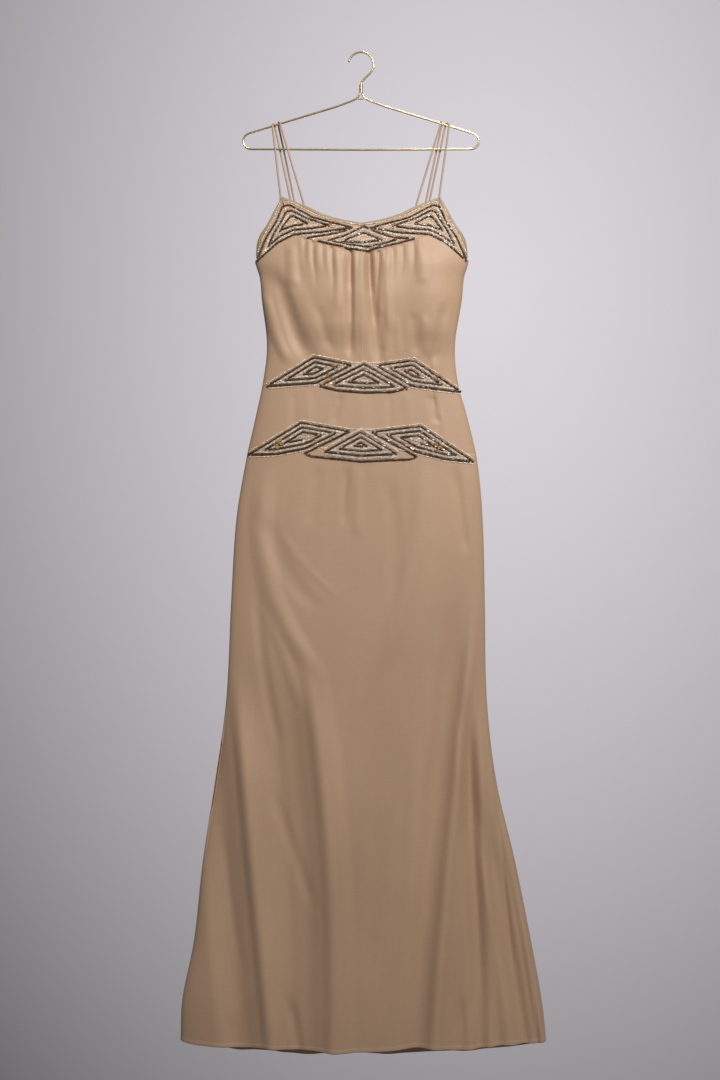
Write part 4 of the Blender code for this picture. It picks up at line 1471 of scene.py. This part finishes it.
def hip_rows():
    fields = {}
    for name, sign in SIDES:
        start = HIP.hung([HIP_STUB], sign)[0]
        fields[name] = wound_field(HIP.hung(HIP_KITE, sign), start, HIP_PITCH, 3)
        fields[name] += seeds_round(HIP, HIP_KITE, sign)
    triangle = HIP.hung(HIP_TRIANGLE, 1)
    lowest = (DARK, HIP.hung(HIP_LOWEST, 1), False)
    fields["centre"] = [lowest, *ringed_field(triangle, HIP_PITCH, 3)]
    for run in ((3, 0, 1), (1, 2, 3)):
        fields["centre"] += beside([triangle[corner] for corner in run], HIP_PITCH / 2 + HIP_ROW_AWAY)
    fields["centre"].append(seeds_between(HIP, HIP_KITE))
    return fields


def row_count(fields):
    return sum(len(rows) for rows in fields.values())


print("waist rows", row_count(waist_rows()))
print("hip rows", row_count(hip_rows()))

# %% [markdown]
# ## The pattern of the yoke
# The yoke's side fields have rows that draw together at the tips, so a fixed distance doesn't suit them.
# Here each row is a share of the way from the outer ring to the innermost one, corner by corner. In the
# middle one long thread winds inwards round a small heart, and it isn't even, so its corners are named.

# %% Fields of the yoke
YOKE_OUTER = (
    (173.5, 351), (160.6, 313.6), (143.4, 284.5), (133.0, 259), (122.0, 256.5), (80.9, 278.5),
    (14.7, 296.5), (68.4, 304.7), (114.4, 307.5), (140.4, 321),
)
YOKE_INNER = (
    (137.4, 301.7), (132.0, 293.0), (127.0, 285.0), (120.0, 277.5), (115.5, 275.3), (103.0, 281.7),
    (89.9, 289.0), (101.0, 290.5), (114.4, 292.0), (132.9, 298.7),
)
YOKE_DARK_SHARES = (0, 0.5, 1)
YOKE_LIGHT_SHARES = (0.25, 0.75, 1.2)
YOKE_THREAD = (
    (-73.2, 319.7), (-43.2, 327.7), (3.3, 336.4), (51.2, 325.1), (89.7, 315.1), (57.9, 313.1),
    (31.2, 305.7), (3.7, 294.1), (-19.3, 306.4), (-32.5, 312.4), (-56.5, 319.7), (-39.2, 322.5),
    (3.3, 329.1), (31.2, 325.1), (59.2, 316),
)
HEART_ROW_IN = 4.0
YOKE_HEART = ((3.3, 305.1), (35.2, 317.1), (3.3, 322.4), (-33.9, 321.1))
YOKE_EXTRA = ((-91, 314.4), (-44.5, 307.1), (-27.3, 301.9), (-14.7, 296.5))
YOKE_LIGHT = (
    ((-65, 321), (-40, 326), (3.3, 332.8), (40, 326.5), (75, 318)),
    ((10, 293.5), (31, 301.2), (58, 308.5), (88, 311)),
    ((-104, 310.4), (-70, 307.9), (-44, 304.2)),
    ((-82, 316.8), (-55, 314), (-32.5, 308), (-19.3, 302.4), (-7, 297)),
)
YOKE_LIGHT_RING = ((3.5, 299.6), (47, 316.5), (3.3, 325.7), (-45, 320.4))
YOKE_NECK_SEEDS = (
    (-128, 251.5), (-117, 253), (-78, 273.5), (-40, 285.5), (0, 291.5), (40, 285.5), (78, 273.5),
    (117, 253), (128, 251.5),
)
YOKE_ARM_SEEDS = ((137.5, 253), (148, 279.5), (165, 309.5), (173.5, 336))


def yoke_ring(share, sign):
    """A ring of a side field, this share of the way from the outer one to the innermost one."""
    return [
        (sign * (a[0] + (b[0] - a[0]) * share), a[1] + (b[1] - a[1]) * share)
        for a, b in zip(YOKE_OUTER, YOKE_INNER)
    ]


def yoke_rows():
    fields = {}
    for name, sign in SIDES:
        fields[name] = [(DARK, yoke_ring(share, sign), True) for share in YOKE_DARK_SHARES]
        for share in YOKE_LIGHT_SHARES:
            fields[name] += double(turned(yoke_ring(share, sign)), 0)
    fields["left"].append((DARK, list(YOKE_EXTRA), False))
    fields["centre"] = [(DARK, list(YOKE_THREAD), False), (DARK, list(YOKE_HEART), True)]
    fields["centre"] += double(turned(YOKE_HEART), HEART_ROW_IN)
    fields["centre"] += double(turned(YOKE_LIGHT_RING), 0)
    for line in YOKE_LIGHT:
        fields["centre"] += beside(line, 0)
    fields["centre"].append((SPARSE, list(YOKE_NECK_SEEDS), False))
    for name, sign in SIDES:
        fields[name].append((SPARSE, [(sign * out, drop) for out, drop in YOKE_ARM_SEEDS], False))
    return fields


print("yoke rows", row_count(yoke_rows()))

# %% [markdown]
# ## Shapes of beads
# A bugle is a short tube and a seed is a small round one. Each is turned from a short profile with six
# sides, which is enough at this size and keeps thousands of them light. Near the amber spots about half of
# the beads are amber.

# %% Shapes of beads


class Bead(NamedTuple):
    """Its length, radius, step along the row, its profile and its number of sides."""

    length: float
    radius: float
    step: float
    profile: tuple
    sides: int


BUGLE = Bead(3.1, 1.7, 3.3, ((-0.5, 0.5), (-0.42, 1.0), (0.42, 1.0), (0.5, 0.5)), 6)
SEED = Bead(1.55, 0.84, 1.85, ((-0.5, 0.55), (0.0, 1.0), (0.5, 0.55)), 6)
FINISH_NUMBER = {DARK: 0, LIGHT: 1, SPARSE: 1, AMBER: 2}
AMBER_SPOTS = (
    (-40, 556), (-135, 656.5), (126, 661.5), (-52.5, 291.2), (53.4, 294.5), (-42, 528), (-38, 553.5),
    (-55, 546), (130, 546), (-140, 659.5), (127.5, 660.7),
)
AMBER_REACH = 7.0
AMBER_SHARE = 0.55
SPARSE_STEP = 2.7
# The glints of single seeds are painted: these shares of the seeds take the pale bright glass and are made a
# little larger.
PAINTED_GLINT_NUMBER = 3  # the number of the brighter glass
PAINTED_GLINT_SHARES = {LIGHT: 0.14, SPARSE: 0.6}
PAINTED_GLINT_SIZE = 1.28


def turned_bead(bead):
    """The points of a bead along its own axis, and its faces."""
    points = []
    for along_axis, share in bead.profile:
        for number in range(bead.sides):
            turn = 2 * math.pi * number / bead.sides
            size = share * bead.radius
            points.append((along_axis * bead.length, size * math.cos(turn), size * math.sin(turn)))
    faces = []
    for level in range(len(bead.profile) - 1):
        for number in range(bead.sides):
            after = (number + 1) % bead.sides
            low, high = level * bead.sides, (level + 1) * bead.sides
            faces.append((low + number, low + after, high + after, high + number))
    faces.append(tuple(range(bead.sides))[::-1])
    top = (len(bead.profile) - 1) * bead.sides
    faces.append(tuple(top + number for number in range(bead.sides)))
    return np.array(points), faces


print("bugle", BUGLE.length, "mm long, seed", round(2 * SEED.radius, 1), "mm thick")

# %% [markdown]
# ## Laying the beads
# A bead can only lie where no other bead is. A beader sees that at once, and here a small map of what
# has been laid does it. Dark rows come first, then the light ones fill the spaces. The map is cut into
# cells, so a new bead is compared only with the ones nearby.

# %% A map of the beads
CELL = 3.0
OVERLAP = 0.3  # beads may lean on each other by this much


class Laid:
    """A map of the beads that have been laid, in flat places on the gown."""

    def __init__(self):
        self.cells = {}

    def free(self, spots, radius, skip):
        for spot in spots:
            cell = (math.floor(spot[0] / CELL), math.floor(spot[1] / CELL))
            for right in (-1, 0, 1):
                for down in (-1, 0, 1):
                    for other, size, number in self.cells.get((cell[0] + right, cell[1] + down), ()):
                        if number not in skip and math.dist(spot, other) < radius + size - OVERLAP:
                            return False
        return True

    def add(self, spots, radius, number):
        for spot in spots:
            cell = (math.floor(spot[0] / CELL), math.floor(spot[1] / CELL))
            self.cells.setdefault(cell, []).append((spot, radius, number))


print("cells of", CELL, "mm")

# %% [markdown]
# ## One row of beads
# A row is a run of corners with beads spread evenly between them. Every bead is shifted, turned and nodded
# by a hair, since a hand placed it, and the places where another bead lies are left out. Then the bead's
# points are turned into the directions that the cloth has there.

# %% The beads of one row
SHORTEST = 0.6  # a side with less room than this share of a step gets no bead
SIDE_STEPS = 12  # points at which a side is measured over the folds
SHIFT, SWING, NOD = 0.16, 0.04, 0.1
BEAD_SIZES = (0.92, 1.04)
BEAD_SUNK = 0.94  # how high the middle of a bead lies, as a share of its radius


def row_places(corners, closed, step, place):
    """Places and headings at even steps along a row, or nothing if the row is too short."""
    spots, headings = [], []
    for start, end in zip(corners, corners[1:] + corners[:1] if closed else corners[1:]):
        start, end = np.array(start, float), np.array(end, float)
        flat = np.linspace(0, 1, SIDE_STEPS)[:, None] * (end - start) + start
        line = on_gown(place(flat[:, 0], flat[:, 1]), flat[:, 1], FRONT, WALL)
        true_length = np.linalg.norm(np.diff(line, axis=0), axis=1).sum()
        if true_length < step * SHORTEST:
            continue
        number = max(1, round(true_length / step))
        share = (np.arange(number) + 0.5) / number
        spots.append(start + (end - start) * share[:, None])
        headings.append(np.broadcast_to((end - start) / np.linalg.norm(end - start), (number, 2)))
    return (np.concatenate(spots), np.concatenate(headings)) if spots else (None, None)


def free_places(spots, headings, bead, closed, laid, count):
    """The numbers of the places that no bead takes. A bead may touch its neighbours in its own row."""
    kept = []
    first = count
    reach = (bead.length - 2 * bead.radius) / 2
    for index, (spot, heading) in enumerate(zip(spots, headings)):
        circles = [spot] if bead is SEED else [spot - heading * reach, spot, spot + heading * reach]
        before = {count - 1}
        if closed and index == len(spots) - 1:
            before.add(first)
        if laid.free(circles, bead.radius, before):
            laid.add(circles, bead.radius, count)
            kept.append(index)
            count += 1
    return kept


def bead_points(spots, headings, bead, shape, place, chance, painted_glint_share):
    """The points of the beads of a row, and which of them get the painted glint."""
    swing = chance.normal(0, SWING, len(spots))
    headings = headings + np.stack([-headings[:, 1], headings[:, 0]], -1) * swing[:, None]
    half = 0.5 * bead.length
    ahead, behind = spots + headings * half, spots - headings * half
    lift = WALL + bead.radius * BEAD_SUNK
    nod = chance.normal(0, NOD, len(spots))
    tip = on_gown(place(ahead[:, 0], ahead[:, 1]), ahead[:, 1], FRONT, lift + nod)
    tail = on_gown(place(behind[:, 0], behind[:, 1]), behind[:, 1], FRONT, lift - nod)
    middle = (tip + tail) / 2
    axis = (tip - tail) / np.linalg.norm(tip - tail, axis=1, keepdims=True)
    normal = outward(place(spots[:, 0], spots[:, 1]), spots[:, 1], FRONT)
    normal -= axis * (normal * axis).sum(1, keepdims=True)
    normal /= np.linalg.norm(normal, axis=1, keepdims=True)
    side = np.cross(axis, normal)
    roll = chance.uniform(0, 2 * math.pi, len(spots))[:, None]
    first_axis = normal * np.cos(roll) + side * np.sin(roll)
    second_axis = np.cross(axis, first_axis)
    # Seeds chosen here get the painted glint, a pale bright glass that stands in for a highlight.
    painted_glint = chance.random(len(spots)) < painted_glint_share
    size = (chance.uniform(*BEAD_SIZES, len(spots)) * np.where(painted_glint, PAINTED_GLINT_SIZE, 1))[:, None, None]
    along_axis = shape[None, :, 0, None] * axis[:, None]
    around = shape[None, :, 1, None] * first_axis[:, None] + shape[None, :, 2, None] * second_axis[:, None]
    return middle[:, None] + (along_axis + around) * size, painted_glint


print("a bead is shifted by about", SHIFT, "mm")

# %% [markdown]
# ## A field in one piece
# All rows of a field share one mesh with four materials, and each face says which one it takes. Loose
# beads would be thousands of objects, which Blender handles slowly. The yoke is laid by its distance out
# from the middle, and the two bands by the place across the gown.

# %% Laying the fields


def by_chest(x, drop):
    return chest_angle(x)


def repeated(faces, size, number, base=0):
    """The faces of many copies of one shape that has this number of points."""
    return [tuple(base + copy * size + corner for corner in face) for copy in range(number) for face in faces]


def finish_of(spot, kind, gets_painted_glint, chance):
    """The number of a bead's material."""
    near = min(math.dist(spot, amber) for amber in AMBER_SPOTS) < AMBER_REACH
    own = AMBER if near and chance.random() < AMBER_SHARE else kind
    # Seeds chosen for the painted glint take the pale bright glass, except the amber ones.
    return PAINTED_GLINT_NUMBER if gets_painted_glint and own != AMBER else FINISH_NUMBER[own]


def lay_field(name, rows, place, laid, chance):
    """Lays the beads of one field and joins them into one piece."""
    shapes = {bead: turned_bead(bead) for bead in (BUGLE, SEED)}
    points, faces, finish_numbers, count = [], [], [], 0
    for kind, corners, closed in rows:
        bead = SEED if kind in (LIGHT, SPARSE) else BUGLE
        spots, headings = row_places(corners, closed, SPARSE_STEP if kind == SPARSE else bead.step, place)
        if spots is None:
            continue
        spots = spots + chance.normal(0, SHIFT, spots.shape)
        kept = free_places(spots, headings, bead, closed, laid, count)
        if not kept:
            continue
        count += len(kept)
        spots, headings = spots[kept], headings[kept]
        shape, shape_faces = shapes[bead]
        painted_glint_share = PAINTED_GLINT_SHARES.get(kind, 0)
        cloud, painted_glint = bead_points(spots, headings, bead, shape, place, chance, painted_glint_share)
        faces += repeated(shape_faces, len(shape), len(spots), sum(len(part) for part in points))
        points.append(cloud.reshape(-1, 3))
        for spot, gets_painted_glint in zip(spots, painted_glint):
            finish_numbers += [finish_of(spot, kind, gets_painted_glint, chance)] * len(shape_faces)
    mesh = bpy.data.meshes.new(name)
    mesh.from_pydata((np.concatenate(points) * MM).tolist(), [], faces)
    for material in (BRONZE_GLASS, SILVER_GLASS, AMBER_GLASS, PAINTED_GLINT_GLASS):
        mesh.materials.append(material)
    mesh.polygons.foreach_set("material_index", finish_numbers)
    mesh.update()
    keep(name, mesh, None, name)
    return count


chance = np.random.default_rng(7)
bead_count = 0
for band, fields, place in (
    ("yoke", yoke_rows(), by_chest), ("waist", waist_rows(), angle_at), ("hip", hip_rows(), angle_at),
):
    laid = Laid()
    for part, rows in fields.items():
        bead_count += lay_field(f"{band}_beads_{part}", rows, place, laid, chance)
print("beads", bead_count)

# %% [markdown]
# ## Stitches
# The bindings are stitched through near their inner edge, and the rolled hems are caught down by small
# slanting stitches. Each stitch is a short piece of thread that sinks into the cloth at both ends, so it is
# the same shape as a slender bead and can be laid along a line of places.

# %% Stitches along the bindings and the hems
STITCH = Bead(2.0, 0.2, 3.4, ((-0.5, 0.1), (-0.3, 0.8), (0.0, 1.0), (0.3, 0.8), (0.5, 0.1)), 6)
HEM_STITCH_STEP = 5.0
HEM_STITCH_UP = 5.6
BINDING_STITCH_SHARE = 0.2  # across the binding, from its inner edge
BINDING_STITCH_LIFT = 1.62
SINK = 0.05
DIVE = 4  # how many times as deep as that the ends of a stitch go
SLANT = math.radians(14)
HEM_REACH = 0.97 * SIDE_SEAM  # the stitches of a hem stop before the side seam
HEM_PLACES = 400


def stitch_line(name, angles, drops, side, lift, step):
    """Lays stitches at an even step along a line of places on the gown."""
    line = on_gown(angles, drops, side, lift)
    length = measured(line)
    even = np.arange(step, length[-1] - step / 2, step)
    angle, drop = np.interp(even, length, angles), np.interp(even, length, drops)
    middle, before = read_along(even, length, line), read_along(even - 0.5, length, line)
    normal = outward(angle, drop, side)
    run = middle - before
    run -= normal * (run * normal).sum(1, keepdims=True)
    run /= np.linalg.norm(run, axis=1, keepdims=True)
    cross = np.cross(normal, run)
    axis = run * math.cos(SLANT) + cross * math.sin(SLANT)
    beside_axis = np.cross(normal, axis)
    shape, shape_faces = turned_bead(STITCH)
    along_axis, across, height = shape.T[:, None, :, None]
    sunk = -SINK * (2 * along_axis / STITCH.length) ** 2 * DIVE
    cloud = middle[:, None] + along_axis * axis[:, None] + across * beside_axis[:, None]
    cloud += (height + sunk) * normal[:, None]
    mesh = bpy.data.meshes.new(name)
    faces = repeated(shape_faces, len(shape), len(even))
    mesh.from_pydata((cloud.reshape(-1, 3) * MM).tolist(), [], faces)
    mesh.shade_smooth()
    keep(name, mesh, SEWING_THREAD, None)
    return len(even)


stitch_count = 0
for label, (inner, outer) in stitched.items():
    line = inner + (outer - inner) * BINDING_STITCH_SHARE
    stitch_count += stitch_line(
        f"stitches_{label}", chest_angle(line[:, 0]), line[:, 1], FRONT,
        BINDING_STITCH_LIFT, STITCH_STEP,
    )
for label, side, hem in (("front_hem", FRONT, front_hem), ("back_hem", BACK, back_hem)):
    angles = np.linspace(-HEM_REACH, HEM_REACH, HEM_PLACES)
    stitch_count += stitch_line(
        f"stitches_{label}", angles, hem(angles) - HEM_STITCH_UP, side,
        WALL + HEM_STANDS + SINK, HEM_STITCH_STEP,
    )
print("stitches", stitch_count)

# %% [markdown]
# ## The room
# A gown is photographed against a pale sweep with one soft light high up at the right, near enough to fall
# off towards the hem. A second one stands behind, above the picture, and lights the back for anyone who
# walks round. The floor lies below the gown and isn't in the picture either.

# %% Light and floor


def sweep_finish():
    """The floor's matt grey paint, a little cloudy."""
    floor = Finish("studio_floor", {"Roughness": 0.8})
    clouds = floor.noise((3.0, 3.0, 3.0), 3.0)
    floor.colour(floor.mixed(clouds, (0.13, 0.12, 0.11), (0.18, 0.165, 0.15)))
    return floor.material


def light(name, place, target, size, power, colour):
    """A round soft light that looks at its target."""
    lamp = bpy.data.lights.new(name, "AREA")
    lamp.shape = "DISK"
    lamp.size = size
    lamp.energy = power
    lamp.color = colour
    made = bpy.data.objects.new(name, lamp)
    made.location = place
    made.rotation_euler = (Vector(target) - Vector(place)).to_track_quat("-Z", "Y").to_euler()
    bpy.context.scene.collection.objects.link(made)


POOL_X, POOL_Z = 0.0588, 0.1235  # the direction of the brightest part of the backdrop
POOL_TALL = 0.72
POOL_REACH = 0.43
POOL_FALL = 0.65
POOL_LIGHT = 0.72
LEAST_LIGHT = 0.13
ROOM_LIGHT = 0.2
BEHIND_FROM, BEHIND_TO = 0.2, 0.6  # how far a direction has to point backwards to show the backdrop


def sky():
    """A pool of light on the backdrop, high up and to the right, and a dim room in front of it."""
    world = bpy.data.worlds.new("backdrop")
    bpy.context.scene.world = world
    tree = Tree(world)
    way = tree.node("ShaderNodeTexCoord", {}, {}, "Generated")
    x, y, z = (tree.node("ShaderNodeSeparateXYZ", {}, {0: way}, axis) for axis in range(3))
    across = (x - POOL_X) / POOL_REACH
    up = (z - POOL_Z) * (POOL_TALL / POOL_REACH)
    away = (across * across + up * up) ** POOL_FALL
    pool = ((1 - away) * POOL_LIGHT).at_least(LEAST_LIGHT)
    behind = y.between(BEHIND_FROM, BEHIND_TO)
    room = ROOM_LIGHT * z.between(-1.0, 1.0) + ROOM_LIGHT * 0.5
    light_there = room * (1 - behind) + pool * behind
    channels = {0: light_there, 1: light_there * 0.95, 2: light_there * 1.01}
    shade = tree.node("ShaderNodeCombineColor", {}, channels)
    tree.feed(tree.nodes["Background"].inputs["Color"], shade)


FLOOR_DROP = 2.0
bpy.ops.mesh.primitive_circle_add(vertices=96, radius=1.0, fill_type="NGON", location=(0, 0, -FLOOR_DROP))
floor = bpy.context.object
floor.name = "floor"
floor.data.materials.append(sweep_finish())
light("key", (0.72, -1.72, 0.62), (-0.1, 0, -0.4), size=0.5, power=54.0, colour=(1.0, 0.99, 0.97))
light("back", (0.5, 2.4, 1.5), (0, 0, -0.8), size=0.8, power=62.0, colour=(0.97, 0.98, 1.0))
sky()
bpy.context.scene.view_settings.view_transform = "Standard"
print("lit")

# %% [markdown]
# ## Handing over
# The number of dressed pieces is printed, and the frame
# takes the scene over.

# %% The number of pieces
print("pieces", len(made_pieces))
